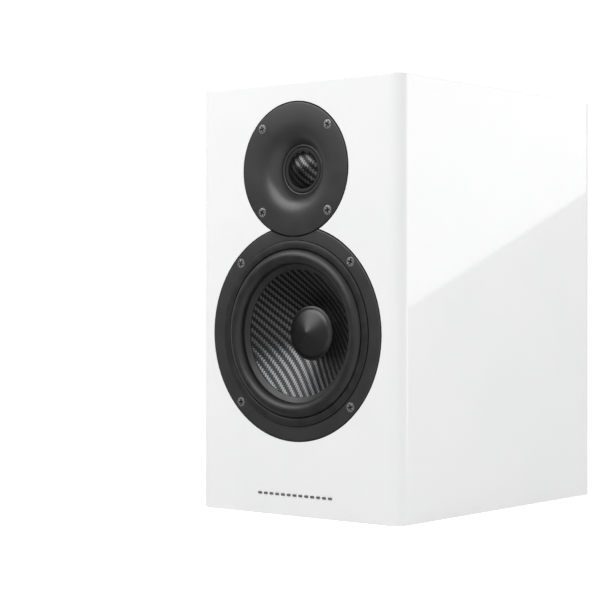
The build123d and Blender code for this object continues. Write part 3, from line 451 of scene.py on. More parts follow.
# ---- Woofer cone --------------------------------------------------------------------------
# A pressed cone of two-by-two carbon twill in clear resin, 0.8 mm thick and slightly bowed.
# The tows are 1.6 mm wide and run level and upright, so the twill's ribs fall to the right.
CONE_WALL = 0.8
CONE_BOW = 0.8
cone_rim = widest("woofer_cone")
cone_front = foremost("woofer_cone")
cone_neck = widest("woofer_coil_former") + 0.1
cone_neck_depth = deepest("woofer_cone") - CONE_WALL


def cone_depth(radius):
    """Depth of the cone's front face at a radius, straight from rim to neck but for its bow."""
    share = (cone_rim - radius) / (cone_rim - cone_neck)
    straight = cone_front + (cone_neck_depth - cone_front) * share
    return straight - 4 * CONE_BOW * share * (1 - share)


def carbon_twill(name, centre_height):
    """Two-by-two twill: each tow passes over two and under two, one step on in every row.
    Each float has a rounded crown along and across, and fibres along its own tow. Its colour carries a
    painted sheen."""
    TOW = 0.001625
    material, shader = finish_for(name, (0.02, 0.02, 0.021), 0.3, 1.0)
    place = object_place(material)
    wobble = add_node(material, "ShaderNodeTexNoise", Scale=160.0, Detail=1.0)
    join_up(material, place, wobble.inputs["Vector"])
    split = add_node(material, "ShaderNodeSeparateXYZ")
    join_up(material, place, split.inputs[0])
    sway = maths(material, "MULTIPLY_ADD", wobble.outputs["Fac"], 0.22, -0.11)
    across = maths(material, "MULTIPLY_ADD", split.outputs["X"], 1 / TOW, 400.0)
    across = maths(material, "ADD", across, sway)
    up = maths(material, "MULTIPLY_ADD", split.outputs["Z"], 1 / TOW, 400.0 - centre_height / TOW)
    up = maths(material, "SUBTRACT", up, sway)
    column, row = (maths(material, "FLOOR", value) for value in (across, up))
    step = maths(material, "MODULO", maths(material, "ADD", column, row), 4.0)
    upright_on_top = maths(material, "LESS_THAN", step, 1.5)
    across_place, up_place = (maths(material, "FRACT", value) for value in (across, up))

    def crown(share, power):
        """One over the middle of a share from 0 to 1, falling to nothing at its ends."""
        wave = maths(material, "SINE", maths(material, "MULTIPLY", share, math.pi))
        return maths(material, "POWER", maths(material, "ABSOLUTE", wave), power)

    along_upright = maths(
        material, "MULTIPLY", maths(material, "MODULO", maths(material, "ADD", column, up), 4.0), 0.5
    )
    along_level = maths(
        material, "MULTIPLY_ADD",
        maths(material, "MODULO", maths(material, "ADD", row, across), 4.0), 0.5, -1.0,
    )
    upright = maths(material, "MULTIPLY", crown(across_place, 0.55), crown(along_upright, 0.45))
    level = maths(material, "MULTIPLY", crown(up_place, 0.55), crown(along_level, 0.45))

    def choose(first, second):
        """The first where an upright tow is on top, the second elsewhere."""
        mix = add_node(material, "ShaderNodeMix", data_type="FLOAT")
        join_up(material, upright_on_top, mix.inputs["Factor"])
        join_up(material, second, mix.inputs["A"])
        join_up(material, first, mix.inputs["B"])
        return mix.outputs["Result"]

    height = choose(upright, level)
    strands = maths(material, "SINE", maths(material, "MULTIPLY",
                                            choose(across, up), 2 * math.pi * 6))
    height = maths(material, "MULTIPLY_ADD", strands, 0.035, height)
    relief(material, shader, height, 0.00010)
    # Painted sheen: upright tows are coloured light and level tows nearly black, each lightest at its
    # float's crown, in place of the fibres' directional shine.
    painted_sheen = add_node(material, "ShaderNodeMapRange")
    painted_sheen.inputs["From Max"].default_value = 1.0
    join_up(material, choose(maths(material, "MULTIPLY_ADD", upright, 0.55, 0.45),
                             maths(material, "MULTIPLY_ADD", level, 0.14, 0.03)),
            painted_sheen.inputs["Value"])
    tint(material, painted_sheen.outputs["Result"], (0.001, 0.001, 0.0011), (0.115, 0.116, 0.120),
         shader.inputs["Base Color"])
    join_up(material, choose(maths(material, "MULTIPLY_ADD", upright, -0.05, 0.27),
                             maths(material, "MULTIPLY_ADD", level, -0.05, 0.33)),
            shader.inputs["Roughness"])
    shader.inputs["Coat Weight"].default_value = 0.2
    shader.inputs["Coat Roughness"].default_value = 0.25
    return material


CONE_STEPS = 28
stations = [cone_rim + (cone_neck - cone_rim) * step / CONE_STEPS for step in range(CONE_STEPS + 1)]
cone_outline = [(r, cone_depth(r)) for r in stations]
cone_outline += [(r, cone_depth(r) + CONE_WALL) for r in reversed(stations)]
cone = turned("woofer_cone_twill", woofer_height, cone_outline)
stand_in(cone, "woofer_motion", "carbon_weave", carbon_twill("carbon_twill_cone", woofer_height),
         "woofer_cone")

# ---- Woofer dust cap ----------------------------------------------------------------------
# A blunt cone pressed from treated paper, sprayed matt black, with a small lip glued to the
# cone. It hides the end of the coil former.
cap_radius = widest("woofer_dust_cap")
cap_apex = foremost("woofer_dust_cap")
cap_lip = cone_depth(cap_radius) - 0.5
CAP_WALL = 0.8
cap_outline = (
    [(0.0, cap_apex + 0.35), (0.5, cap_apex + 0.38), (1.2, cap_apex + 0.52),
     (2.4, cap_apex + 0.86)]
    + [(2.4 + (16.6 - 2.4) * step / 8, cap_apex + 0.86 + (cap_lip - 2.35 - cap_apex) * step / 8)
       for step in range(1, 9)]
    + [(17.4, cap_lip - 1.02), (17.9, cap_lip - 0.62), (18.2, cap_lip - 0.22), (18.55, cap_lip),
       (cap_radius - 0.25, cap_lip), (cap_radius, cap_lip + 0.12), (cap_radius, cap_lip + 0.4),
       (18.6, cap_lip + 0.4), (17.2, cap_lip - 0.3), (0.0, cap_apex + 0.38 + CAP_WALL)]
)
cap = turned("woofer_dust_cap_pressed", woofer_height, cap_outline, closed=False, angle=60.0)
matt_paper = satin_black("matt_black_paper", (0.005, 0.005, 0.0052), 0.32, 0.0004, 0.000012)
stand_in(cap, "woofer_motion", "cap_black", matt_paper, "woofer_dust_cap")

# ---- Woofer surround ----------------------------------------------------------------------
# Moulded butyl rubber: a thick outer rim seated in the face ring, a half roll that lets the
# cone travel, and a plain inner band glued to the front of the cone.
RIM_FACE = -1.6
RUBBER = 0.7
ROLL_OUTER = 60.4
ROLL_INNER = 49.6
BAND_INNER = 45.6
CROWN = -4.6
crown_radius = (ROLL_OUTER + ROLL_INNER) / 2 + 0.4
rim_radius = widest("woofer_surround")
band_face = cone_depth(ROLL_INNER) - 0.2 - RUBBER
band_tip = cone_depth(BAND_INNER) - 0.2 - RUBBER
surround_outline = (
    arc_through((ROLL_OUTER, -0.5), (crown_radius, CROWN), (ROLL_INNER, band_face), 28)
    + [(ROLL_INNER - 0.35, band_face + 0.12), (ROLL_INNER - 0.7, band_face + 0.36)]
    + [(BAND_INNER + 0.4, band_tip - 0.2), (BAND_INNER + 0.1, band_tip - 0.02),
       (BAND_INNER, band_tip + 0.16), (BAND_INNER, band_tip + RUBBER)]
    + arc_through((ROLL_INNER + RUBBER, cone_depth(ROLL_INNER + RUBBER) - 0.2),
                  (crown_radius, CROWN + RUBBER), (ROLL_OUTER - RUBBER, 0.4), 20)
    + [(rim_radius, 0.4), (rim_radius, RIM_FACE + 0.45), (rim_radius - 0.13, RIM_FACE + 0.13),
       (rim_radius - 0.45, RIM_FACE), (ROLL_OUTER + 0.95, RIM_FACE),
       (ROLL_OUTER + 0.6, RIM_FACE + 0.12), (ROLL_OUTER + 0.45, RIM_FACE + 0.4),
       (ROLL_OUTER + 0.38, -0.15), (ROLL_OUTER + 0.12, -0.08)]
)
surround = turned("woofer_surround_moulding", woofer_height, surround_outline, angle=50.0)


def radial_blend(piece, moving_body, height, fixed_radius, moving_radius):
    """Lets a flexible ring follow the moving body at its inner radius and the frame at its outer."""
    start, end = (fixed_radius * MM, 0.0, height), (moving_radius * MM, 0.0, height)
    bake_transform(piece, "root", moving_body, start=start, end=end)
    weights = piece.data.attributes["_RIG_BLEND"].data
    for vertex, weight in zip(piece.data.vertices, weights):
        radius = math.hypot(vertex.co.x, vertex.co.z - height) / MM
        share = min(max((fixed_radius - radius) / (fixed_radius - moving_radius), 0.0), 1.0)
        weight.value = share * share * (3 - 2 * share)


def moulded_rubber():
    """Black butyl rubber: a faint bloom, and shallow flow marks."""
    material, shader = finish_for("butyl_rubber", (0.010, 0.010, 0.0105), 0.40)
    bloom = noise_of(material, 0.009, 4.0)
    tint(material, spread(material, bloom, 0.0, 1.0), (0.009, 0.009, 0.0095),
         (0.015, 0.015, 0.0155), shader.inputs["Base Color"])
    join_up(material, spread(material, bloom, 0.34, 0.44), shader.inputs["Roughness"])
    relief(material, shader, noise_of(material, 0.0008, 3.0), 0.00001)
    return material


rubber = moulded_rubber()
stand_in(surround, None, "surround_rubber", rubber, "woofer_surround")
radial_blend(surround, "woofer_motion", woofer_height, ROLL_OUTER, ROLL_INNER)

# ---- Woofer spider ------------------------------------------------------------------------
# Resin-dipped cotton pressed into five rings of corrugation. It centres the coil, and is glued
# to the former inside and to the basket's ledge outside.
SPIDER_WAVES = 5
SPIDER_SWING = 1.1
SPIDER_CLOTH = 0.6
SPIDER_DEPTH = 30.0
SPIDER_FLAT = 40.5
spider_inner = widest("woofer_coil_former") + 0.15
spider_outer = widest("woofer_spider")


def spider_depth(radius):
    """Depth of the spider's front face: waves between its two flat rims."""
    if not spider_inner + 1.5 < radius < SPIDER_FLAT:
        return SPIDER_DEPTH
    share = (radius - spider_inner - 1.5) / (SPIDER_FLAT - spider_inner - 1.5)
    return SPIDER_DEPTH - SPIDER_SWING * math.sin(math.tau * SPIDER_WAVES * share)


SPIDER_STEPS = 70
spider_radii = [spider_inner + (spider_outer - spider_inner) * n / SPIDER_STEPS
                for n in range(SPIDER_STEPS + 1)]
spider_outline = [(r, spider_depth(r)) for r in spider_radii]
spider_outline += [(r, spider_depth(r) + SPIDER_CLOTH) for r in reversed(spider_radii)]
spider = turned("woofer_spider_cloth", woofer_height, spider_outline, rings=128)


def woven_cloth(name, dark, light, thread):
    """Plain-woven cloth: two sets of threads over and under each other."""
    material, shader = finish_for(name, light, 0.8)
    split = add_node(material, "ShaderNodeSeparateXYZ")
    join_up(material, object_place(material), split.inputs[0])
    across = maths(material, "SINE", maths(material, "MULTIPLY", split.outputs["X"], math.pi / thread))
    up = maths(material, "SINE", maths(material, "MULTIPLY", split.outputs["Z"], math.pi / thread))
    height = maths(material, "MULTIPLY_ADD", maths(material, "MULTIPLY", across, up), 0.5, 0.5)
    # Painted shade: the cloth is coloured darker where its threads dip and lighter on their crossings.
    tint(material, height, dark, light, shader.inputs["Base Color"])
    relief(material, shader, height, thread * 0.3)
    return material


spider_cloth = woven_cloth("resin_dipped_cotton", (0.30, 0.19, 0.07), (0.52, 0.36, 0.15), 0.0004)
stand_in(spider, None, "spider_cloth", spider_cloth, "woofer_spider")
radial_blend(spider, "woofer_motion", woofer_height, 41.0, spider_inner + 0.5)

# ---- Woofer tinsel leads ------------------------------------------------------------------
# Two braids of copper tinsel, soft enough to flex with the cone, from the tag strip on the
# basket to the back of the cone.
TAG_X = 9.0
strip_low, strip_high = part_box("woofer_terminal_strip")
strip_front = (strip_low.y - front) / MM
strip_top = strip_high.z / MM
TINSEL_ROUTE = ((strip_front, -0.8), (23.0, 0.4), (19.5, 4.8), (17.6, 10.5), (11.4, 14.5))


def lead_curve(name, points, radius, sides=6):
    """A round lead as a smooth curve through the space between its points, made a mesh."""
    curve = bpy.data.curves.new(name, "CURVE")
    curve.dimensions = "3D"
    curve.bevel_depth = radius
    curve.bevel_resolution = sides
    curve.use_fill_caps = True
    curve.resolution_u = 16
    spline = curve.splines.new("NURBS")
    spline.points.add(len(points) - 1)
    for point, place in zip(spline.points, points):
        point.co = (*place, 1.0)
    spline.order_u = 3
    spline.use_endpoint_u = True
    piece = bpy.data.objects.new(name, curve)
    bpy.context.scene.collection.objects.link(piece)
    alone(piece)
    bpy.ops.object.convert(target="MESH")
    close_up(bpy.context.object, 60.0)
    return bpy.context.object


braids = []
for side in (-1, 1):
    route = [(side * TAG_X * MM, front + depth * MM, (strip_top + up) * MM)
             for depth, up in TINSEL_ROUTE]
    braids.append(lead_curve("tinsel", route, 0.6 * MM))
tinsel = joined(braids, "woofer_tinsel_braids")


def braided_copper():
    """Tinsel braid: short slanting strands of flattened copper over a cotton core."""
    material, shader = finish_for("copper_tinsel", (0.62, 0.34, 0.2), 0.35, 0.8)
    wave = add_node(material, "ShaderNodeTexWave", Scale=900.0, Distortion=2.0,
                    bands_direction="DIAGONAL")
    join_up(material, object_place(material), wave.inputs["Vector"])
    # Painted shade: darker between the strands and lighter on their crowns, by the same bands as the bumps.
    tint(material, wave.outputs["Fac"], (0.36, 0.18, 0.10), (0.76, 0.46, 0.30),
         shader.inputs["Base Color"])
    relief(material, shader, wave.outputs["Fac"], 0.00012)
    return material


stand_in(tinsel, None, "tinsel_braid", braided_copper(), "woofer_tinsel_leads")
cone_end = (0.0, front + TINSEL_ROUTE[-1][0] * MM, (strip_top + TINSEL_ROUTE[-1][1]) * MM)
strip_end = (0.0, front + TINSEL_ROUTE[0][0] * MM, (strip_top + TINSEL_ROUTE[0][1]) * MM)
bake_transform(tinsel, "root", "woofer_motion", start=strip_end, end=cone_end)

# ---- Driver screws ------------------------------------------------------------------------
# Eight countersunk cross-head screws in black zinc, four to a driver. Their heads' rims are
# rubbed bright where the driver bit and the plate have touched them.
SHANK = 1.9
SCREW_LENGTH = 17.0


def black_zinc(name):
    """Black zinc plating, worn to grey at the head's rim and the edges of the cross."""
    material, shader = finish_for(name, (0.03, 0.03, 0.031), 0.36, 0.6)
    edge = add_node(material, "ShaderNodeNewGeometry").outputs["Pointiness"]
    worn = add_node(material, "ShaderNodeMapRange")
    worn.inputs["From Min"].default_value = 0.505
    worn.inputs["From Max"].default_value = 0.56
    join_up(material, edge, worn.inputs["Value"])
    rough = spread(material, noise_of(material, 0.0007, 3.0), 0.2, 1.0)
    tint(material, maths(material, "MULTIPLY", worn.outputs["Result"], rough),
         (0.03, 0.03, 0.031), (0.42, 0.42, 0.43), shader.inputs["Base Color"])
    relief(material, shader, noise_of(material, 0.0003), 0.000008)
    return material


def cross_head_screw(x, z, face):
    """One screw, its head's face flush with the plate's, turned a little by its place."""
    outline = [(0.0, face), (HEAD - 0.25, face), (HEAD - 0.07, face + 0.07), (HEAD, face + 0.28),
               (SHANK, face + 0.3 + HEAD - SHANK), (SHANK, face + SCREW_LENGTH - 1.6),
               (0.3, face + SCREW_LENGTH), (0.0, face + SCREW_LENGTH)]
    screw = turned("screw", 0.0, outline, closed=False, rings=48)
    arms = []
    for quarter in (0, 1):
        bpy.ops.object.select_all(action="DESELECT")
        bpy.ops.mesh.primitive_cube_add(
            size=1.0, location=(0.0, front + face * MM, 0.0),
            rotation=(0.0, quarter * math.pi / 2, 0.0), scale=(3.9 * MM, 3.0 * MM, 1.05 * MM),
        )
        bpy.ops.object.transform_apply(location=True, rotation=True, scale=True)
        arms.append(bpy.context.object)
    for arm in arms:
        cut_away(screw, arm)
    bpy.ops.object.select_all(action="DESELECT")
    screw.rotation_euler = (0.0, x * 90.0 + z * 37.0, 0.0)
    screw.location = (x, 0.0, z)
    alone(screw)
    bpy.ops.object.transform_apply(location=True, rotation=True, scale=True)
    bpy.ops.object.shade_smooth_by_angle(angle=math.radians(30))
    return screw


zinc = black_zinc("black_zinc")
woofer_screw_set = joined([cross_head_screw(x, z, PLATE_FACE) for x, z in woofer_places],
                          "woofer_screw_set")
stand_in(woofer_screw_set, "root", "black_screw", zinc, "woofer_screws")
TWEETER_SCREWS = 42.7
tweeter_places = corners_of(TWEETER_SCREWS, tweeter_height)
tweeter_screw_set = joined([cross_head_screw(x, z, PLATE_FACE) for x, z in tweeter_places],
                           "tweeter_screw_set")
stand_in(tweeter_screw_set, "root", "black_screw", zinc, "tweeter_screws")

# ---- Tweeter face plate -------------------------------------------------------------------
# One satin black moulding: a flat ring with four screws, and a shallow horn that runs down in
# a smooth curve to the dome.
throat = 18.3
THROAT_DEPTH = 8.6
MOUTH = 36.0
body_radius = 36.0
top_plate_front = foremost("tweeter_top_plate")


def horn_depth(radius):
    """Depth of the horn: flush at the mouth, then steeper and steeper towards the throat."""
    share = (MOUTH - radius) / (MOUTH - throat)
    return PLATE_FACE + (THROAT_DEPTH - PLATE_FACE) * (0.25 * share ** 2 + 0.75 * share ** 4)


HORN_STEPS = 36
horn_radii = [MOUTH + (throat - MOUTH) * step / HORN_STEPS for step in range(HORN_STEPS + 1)]
plate_outline = (
    [(r, horn_depth(r)) for r in horn_radii]
    + [(throat, 10.2), (24.0, 10.2), (24.0, top_plate_front), (body_radius, top_plate_front),
       (body_radius, flange_back), (tweeter_radius - 0.3, flange_back),
       (tweeter_radius, flange_back - 0.3)]
    + arc_through((tweeter_radius, PLATE_FACE + 0.8), (tweeter_radius - 0.234, PLATE_FACE + 0.234),
                  (tweeter_radius - 0.8, PLATE_FACE), 6)
)
face_plate = turned("tweeter_face_moulding", tweeter_height, plate_outline)
screw_holes(face_plate, tweeter_places, HEAD, 2.1, PLATE_FACE)
alone(face_plate)
bpy.ops.object.shade_smooth_by_angle(angle=math.radians(30))
satin_moulding = satin_black("satin_black_moulding", (0.017, 0.017, 0.0175), 0.36, 0.0009, 0.000008)
stand_in(face_plate, "root", "waveguide_black", satin_moulding, "tweeter_waveguide")

# ---- Tweeter throat ring ------------------------------------------------------------------
# A thin grey ring at the foot of the horn, which clamps the suspension's outer edge.
RING_INNER = 16.9
ring_outline = [(RING_INNER, 10.2), (RING_INNER, 9.3), (RING_INNER + 0.12, 9.1), (17.25, 8.6),
                (17.45, 8.5), (17.85, 8.5), (18.0, 8.58), (throat - 0.15, 8.9),
                (throat - 0.15, 10.2)]
ring = turned("tweeter_throat_ring", tweeter_height, ring_outline, rings=128)
ring_grey = satin_black("grey_ring_moulding", (0.045, 0.045, 0.047), 0.34, 0.0005, 0.000008)
stand_in(ring, "root", "clamp_ring_grey", ring_grey, "tweeter_clamp_ring")

# ---- Tweeter dome -------------------------------------------------------------------------
# The same carbon twill as the cone, pressed into a 26 mm dome, with a short skirt that is
# glued to the coil former.
dome_edge = widest("tweeter_dome")
dome_top = foremost("tweeter_dome")
DOME_RADIUS = 13.0
DOME_BASE = 9.5
DOME_WALL = 0.5
dome_rise = DOME_BASE - dome_top
dome_ball = (DOME_RADIUS ** 2 + dome_rise ** 2) / (2 * dome_rise)


def dome_points(ball, count):
    """Points on the dome from its rim to its pole, on a sphere about the dome's centre."""
    half = math.asin(DOME_RADIUS / dome_ball)
    angles = [half * (1 - step / count) for step in range(count + 1)]
    return [(ball * math.sin(a), dome_top + dome_ball - ball * math.cos(a)) for a in angles]


dome_outline = (
    list(reversed(dome_points(dome_ball, 24)))
    + [(dome_edge - 0.1, DOME_BASE + 0.02), (dome_edge, DOME_BASE + 0.12), (dome_edge, 10.2),
       (12.64, 10.2)]
    + dome_points(dome_ball - DOME_WALL, 16)
)
dome = turned("tweeter_dome_twill", tweeter_height, dome_outline, closed=False, rings=128)
stand_in(dome, "tweeter_motion", "carbon_weave", carbon_twill("carbon_twill_dome", tweeter_height),
         "tweeter_dome")

# ---- Tweeter suspension -------------------------------------------------------------------
# Coated black cloth, rolled forwards in a low half round between the dome and the throat ring.
roll_outline = (
    arc_through((13.5, 9.6), (15.0, 8.7), (16.5, 9.7), 12)
    + [(16.7, 10.25), (23.5, 10.25), (23.5, 10.75), (16.3, 10.75)]
    + arc_through((16.3, 10.3), (15.0, 9.2), (13.5, 10.1), 10)
)
roll = turned("tweeter_suspension_roll", tweeter_height, roll_outline, rings=128)
coated_cloth = woven_cloth("coated_black_cloth", (0.010, 0.010, 0.010), (0.028, 0.028, 0.029), 0.0002)
stand_in(roll, None, "suspension_cloth", coated_cloth, "tweeter_suspension")
radial_blend(roll, "tweeter_motion", tweeter_height, 16.5, 13.5)

# ---- Cabinet inside and badge ---------------------------------------------------------------
# A bare fibreboard brace, black foam gaskets, a moulded port and thirteen thin metal bars let
# into the baffle. The CAD pieces keep their shape. Only the finish is made here.


def uneven(name, dark, light, size, roughness, metallic=0.0, grain=0.001, depth=0.00001):
    """A plain finish that is never quite even: its colour, shine and surface all vary."""
    material, shader = finish_for(name, light, roughness, metallic)
    patches = noise_of(material, size, 3.0)
    tint(material, spread(material, patches, 0.0, 1.0), dark, light, shader.inputs["Base Color"])
    join_up(material, spread(material, patches, roughness - 0.05, roughness + 0.05),
            shader.inputs["Roughness"])
    relief(material, shader, noise_of(material, grain, 3.0), depth)
    return material


def brushed(name, dark, light, roughness, depth):
    """Metal brushed level: long fine scratches along X."""
    material, shader = finish_for(name, light, roughness, 1.0)
    stretch = add_node(material, "ShaderNodeMapping")
    stretch.inputs["Scale"].default_value = (0.02, 1.0, 1.0)
    join_up(material, object_place(material), stretch.inputs["Vector"])
    scratches = noise_of(material, 0.00035, 3.0, stretch.outputs["Vector"])
    tint(material, spread(material, scratches, 0.0, 1.0), dark, light, shader.inputs["Base Color"])
    join_up(material, spread(material, scratches, roughness - 0.06, roughness + 0.10),
            shader.inputs["Roughness"])
    relief(material, shader, scratches, depth)
    return material


dress("window_brace", uneven("bare_fibreboard", (0.26, 0.17, 0.10), (0.36, 0.25, 0.15), 0.0012,
                             0.85, grain=0.0004, depth=0.0001))
foam = uneven("gasket_foam", (0.008, 0.008, 0.008), (0.03, 0.03, 0.03), 0.0005, 0.9,
              grain=0.0005, depth=0.0002)
for gasket in ("woofer_gasket", "tweeter_gasket"):
    dress(gasket, foam)
moulding = uneven("black_moulding", (0.016, 0.016, 0.017), (0.024, 0.024, 0.025), 0.012, 0.45,
                  grain=0.0005, depth=0.00003)
for moulded in ("port_duct", "tweeter_rear_chamber"):
    dress(moulded, moulding)
dress("badge_bars", brushed("badge_metal", (0.40, 0.40, 0.41), (0.56, 0.56, 0.57), 0.34, 0.000002))

# ---- Damping pads ---------------------------------------------------------------------------
# Grey polyester wadding, 12 mm thick, stapled to the side walls behind the brace. Each pad is
# fullest in the middle and thins out at its cut edges.


def wadding_pad(node_name):
    """One pad: a finely divided block, drawn in towards its edges and roughened all over."""
    low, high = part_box(node_name)
    centre, half = (low + high) / 2, (high - low) / 2
    bpy.ops.object.select_all(action="DESELECT")
    bpy.ops.mesh.primitive_cube_add(size=2.0, location=centre, scale=half)
    pad = bpy.context.object
    pad.name = node_name + "_wadding"
    bpy.ops.object.transform_apply(location=True, rotation=True, scale=True)
    bpy.ops.object.mode_set(mode="EDIT")
    bpy.ops.mesh.subdivide(number_cuts=22)
    bpy.ops.object.mode_set(mode="OBJECT")
    for vertex in pad.data.vertices:
        place = vertex.co - centre
        share_y, share_z = abs(place.y) / half.y, abs(place.z) / half.z
        thin = 0.45 * max(share_y, share_z) ** 6
        lumps = 0.10 + 0.08 * noise.noise(vertex.co * 90.0)
        place.x *= 1.0 - thin - lumps
        ragged = 0.012 + 0.010 * noise.noise(vertex.co * 160.0)
        place.y *= 1.0 - ragged
        place.z *= 1.0 - ragged / 2
        vertex.co = centre + place
    close_up(pad, 80.0)
    return pad


wadding = uneven("polyester_wadding", (0.22, 0.22, 0.225), (0.40, 0.40, 0.41), 0.003, 0.95,
                 grain=0.0006, depth=0.0004)
for pad_node in ("damping_pad_left", "damping_pad_right"):
    pad = wadding_pad(pad_node)
    stand_in(pad, "root", "damping_wadding", wadding, pad_node)

# ---- Motors and coils -----------------------------------------------------------------------
# Zinc-plated steel plates, ferrite rings, and copper wound on aluminium foil formers.


def wound_copper(name, axis):
    """Enamelled wire in even turns, square to the named axis."""
    material, shader = finish_for(name, (0.62, 0.26, 0.12), 0.3, 1.0)
    split = add_node(material, "ShaderNodeSeparateXYZ")
    join_up(material, object_place(material), split.inputs[0])
    turns = maths(material, "SINE", maths(material, "MULTIPLY", split.outputs[axis], 9000.0))
    height = maths(material, "MULTIPLY_ADD", turns, 0.5, 0.5)
    # Painted shade: the copper is coloured darker in the grooves between turns and lighter on their crowns.
    tint(material, height, (0.30, 0.10, 0.04), (0.70, 0.32, 0.16), shader.inputs["Base Color"])
    relief(material, shader, height, 0.00012)
    return material


steel = uneven("zinc_plated_steel", (0.40, 0.40, 0.41), (0.62, 0.62, 0.63), 0.006, 0.38, 1.0,
               grain=0.0006)
for plate in ("woofer_top_plate", "woofer_back_plate", "tweeter_top_plate", "tweeter_back_plate"):
    dress(plate, steel)
ferrite = uneven("ferrite", (0.025, 0.025, 0.027), (0.06, 0.06, 0.062), 0.004, 0.62, grain=0.0004,
                 depth=0.00005)
for magnet in ("woofer_magnet", "tweeter_magnet"):
    dress(magnet, ferrite)
foil = brushed("former_foil", (0.55, 0.55, 0.56), (0.80, 0.80, 0.81), 0.28, 0.000002)
coil_copper = wound_copper("voice_coil_copper", "Y")
for driver in ("woofer", "tweeter"):
    dress(driver + "_coil_former", foil)
    dress(driver + "_voice_coil", coil_copper)
strip_board = uneven("strip_board", (0.20, 0.10, 0.04), (0.30, 0.16, 0.07), 0.002, 0.5)
for strip in ("woofer_terminal_strip", "tweeter_terminal_block"):
    dress(strip, strip_board)

# ---- Crossover ------------------------------------------------------------------------------
# Two air-cored coils, three film capacitors and two cement resistors on a green board, which
# stands on four posts screwed to the cabinet's floor.
dress("crossover_board", uneven("green_board", (0.012, 0.09, 0.035), (0.02, 0.14, 0.055), 0.004,
                                0.35))
dress("crossover_windings", wound_copper("choke_copper", "Z"))
nylon = uneven("black_nylon", (0.02, 0.02, 0.02), (0.035, 0.035, 0.036), 0.006, 0.5)
for moulded in ("crossover_bobbins", "crossover_standoffs"):
    dress(moulded, nylon)
dress("crossover_capacitors", uneven("capacitor_film", (0.50, 0.20, 0.03), (0.70, 0.34, 0.07), 0.008,
                                     0.28))
dress("crossover_resistors", uneven("resistor_cement", (0.66, 0.65, 0.61), (0.80, 0.79, 0.76),
                                    0.002, 0.8, grain=0.0005, depth=0.00006))
dress("crossover_screws", uneven("bright_zinc", (0.55, 0.56, 0.58), (0.72, 0.73, 0.75), 0.002, 0.32,
                                 1.0))

# ---- Terminals ------------------------------------------------------------------------------
# A black-anodised plate on the rear panel with two gold-plated posts through moulded bushes.
# Each knurled cap is moulded over a gold-plated sleeve, one red and one black.
dress("terminal_plate", brushed("anodised_plate", (0.030, 0.030, 0.032), (0.055, 0.055, 0.058),
                                0.42, 0.000003))
dress("terminal_screws", zinc)
dress("post_insulators", nylon)
gold = uneven("gold_plate", (0.72, 0.48, 0.16), (0.88, 0.64, 0.26), 0.003, 0.2, 1.0, depth=0.000004)
for plated in ("post_studs", "post_nuts", "post_solder_tags", "red_post_washer",
               "black_post_washer", "red_post_insert", "black_post_insert"):
    dress(plated, gold)
dress("red_post_knob", uneven("red_moulding", (0.42, 0.012, 0.012), (0.52, 0.02, 0.02), 0.006, 0.3))
dress("black_post_knob", uneven("black_cap_moulding", (0.014, 0.014, 0.014), (0.022, 0.022, 0.022),
                                0.006, 0.3))

# ---- Wiring ---------------------------------------------------------------------------------
# Stranded copper in soft plastic sleeves: black from the posts, red out to the drivers.
dress("input_leads", uneven("black_sleeve", (0.012, 0.012, 0.012), (0.022, 0.022, 0.022), 0.005,
                            0.5))
red_sleeve = uneven("red_sleeve", (0.34, 0.012, 0.010), (0.44, 0.022, 0.018), 0.005, 0.5)
for leads in ("woofer_leads", "tweeter_leads"):
    dress(leads, red_sleeve)

# ---- Camera, floor and light ---------------------------------------------------------------
# A plain white sweep lit from beneath: a pale floor with a faint shine, a large soft light high
# on the left, and a bright card behind on the right that the polished side mirrors. The camera
# sees only white behind the object, while the object mirrors a room that darkens to the front.
bpy.ops.object.select_all(action="DESELECT")
bpy.ops.mesh.primitive_plane_add(size=60.0, location=(0.0, 0.0, cad_low.z - 0.0004))
floor = bpy.context.object
floor.name = "studio_floor"
floor_paint, floor_shader = finish_for("studio_white", (0.80, 0.80, 0.80), 0.28)
floor_shader.inputs["Emission Color"].default_value = (1.0, 1.0, 1.0, 1.0)
floor_shader.inputs["Emission Strength"].default_value = 0.50
mottle = noise_of(floor_paint, 0.4)
join_up(floor_paint, spread(floor_paint, mottle, 0.26, 0.30), floor_shader.inputs["Roughness"])
floor.data.materials.append(floor_paint)
floor.visible_glossy = False

AHEAD = Vector((-0.6362, 0.7715, -0.0019))
WHITE_WALL = 1.08
DARK_WALL = 0.20
world = bpy.data.worlds.new("studio")
bpy.context.scene.world = world
world.use_nodes = True
background = world.node_tree.nodes["Background"]
background.inputs["Color"].default_value = (1.0, 1.0, 1.0, 1.0)
direction = add_node(world, "ShaderNodeTexCoord").outputs["Generated"]
along = add_node(world, "ShaderNodeVectorMath", operation="DOT_PRODUCT")
join_up(world, direction, along.inputs[0])
along.inputs[1].default_value = AHEAD
upright = add_node(world, "ShaderNodeSeparateXYZ")
join_up(world, direction, upright.inputs[0])


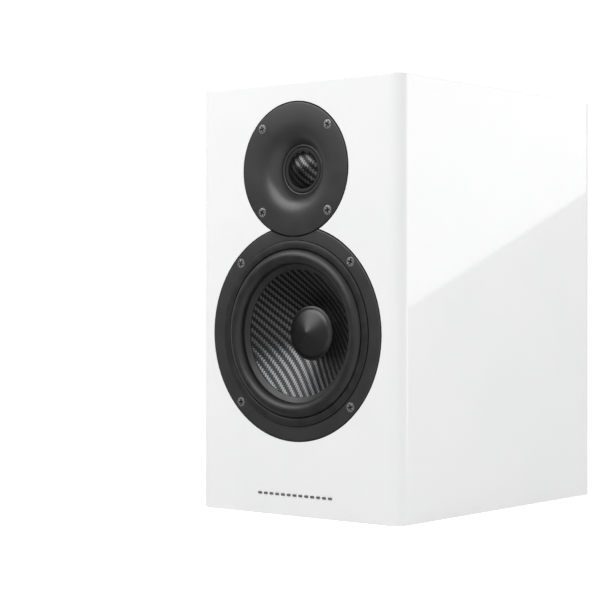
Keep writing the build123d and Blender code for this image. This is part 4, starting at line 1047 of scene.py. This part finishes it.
def ramp(source, start, end, low, high):
    """A smooth rise of the studio's brightness from low to high."""
    node = add_node(world, "ShaderNodeMapRange", interpolation_type="SMOOTHSTEP")
    for name, value in (("From Min", start), ("From Max", end), ("To Min", low), ("To Max", high)):
        node.inputs[name].default_value = value
    join_up(world, source, node.inputs["Value"])
    return node.outputs["Result"]


backdrop = ramp(along.outputs["Value"], 0.25, 0.85, DARK_WALL, WHITE_WALL)
right_wall = ramp(upright.outputs["X"], -0.30, 0.70, DARK_WALL, 0.86)
ceiling = ramp(upright.outputs["Z"], 0.30, 0.75, 0.0, 0.78)
walls = maths(world, "MAXIMUM", backdrop, right_wall)
room = maths(world, "MAXIMUM", walls, ceiling)
seen = add_node(world, "ShaderNodeLightPath").outputs["Is Camera Ray"]
seen_directly = maths(world, "MULTIPLY", seen, WHITE_WALL)
join_up(world, maths(world, "MAXIMUM", room, seen_directly), background.inputs["Strength"])
bpy.context.scene.view_settings.view_transform = "Standard"


def soft_light(name, place, across, up, width, height, radiance):
    """A flat rectangular light of an even radiance, from its centre and its own two directions."""
    bpy.ops.object.light_add(type="AREA", location=place)
    lamp = bpy.context.object
    lamp.name = name
    lamp.data.shape = "RECTANGLE"
    lamp.data.size, lamp.data.size_y = width, height
    lamp.data.energy = radiance * math.pi * width * height
    away = Vector(across).cross(Vector(up))
    axes = Matrix((across, up, away)).transposed()
    lamp.rotation_euler = axes.to_euler()
    return lamp


key_from = Vector((-0.307, -0.7595, 0.5736)).normalized()
key_across = key_from.cross(Vector((0.0, 0.0, 1.0))).normalized() * -1.0
key_up = key_from.cross(key_across)
soft_light("key_light", key_from * 1.4 + Vector((0.0, 0.0, 0.20)), key_across, key_up, 1.6, 0.9, 2.9)
CARD_EDGE = Vector((-0.883, 0.0, 0.469))
CARD_UP = Vector((0.469, 0.0, 0.883))
soft_light("side_card", Vector((1.145, 1.6, 0.239)) + 0.8 * CARD_UP, CARD_EDGE, CARD_UP, 2.4, 1.6, 1.35)

bpy.ops.object.camera_add(location=(0.7897, -1.0817, 0.1568))
camera = bpy.context.object
camera.name = "camera"
camera.rotation_mode = "QUATERNION"
camera.rotation_quaternion = AHEAD.to_track_quat("-Z", "Y")
camera.data.lens = 103.9
camera.data.sensor_width = 36.0
bpy.context.scene.camera = camera
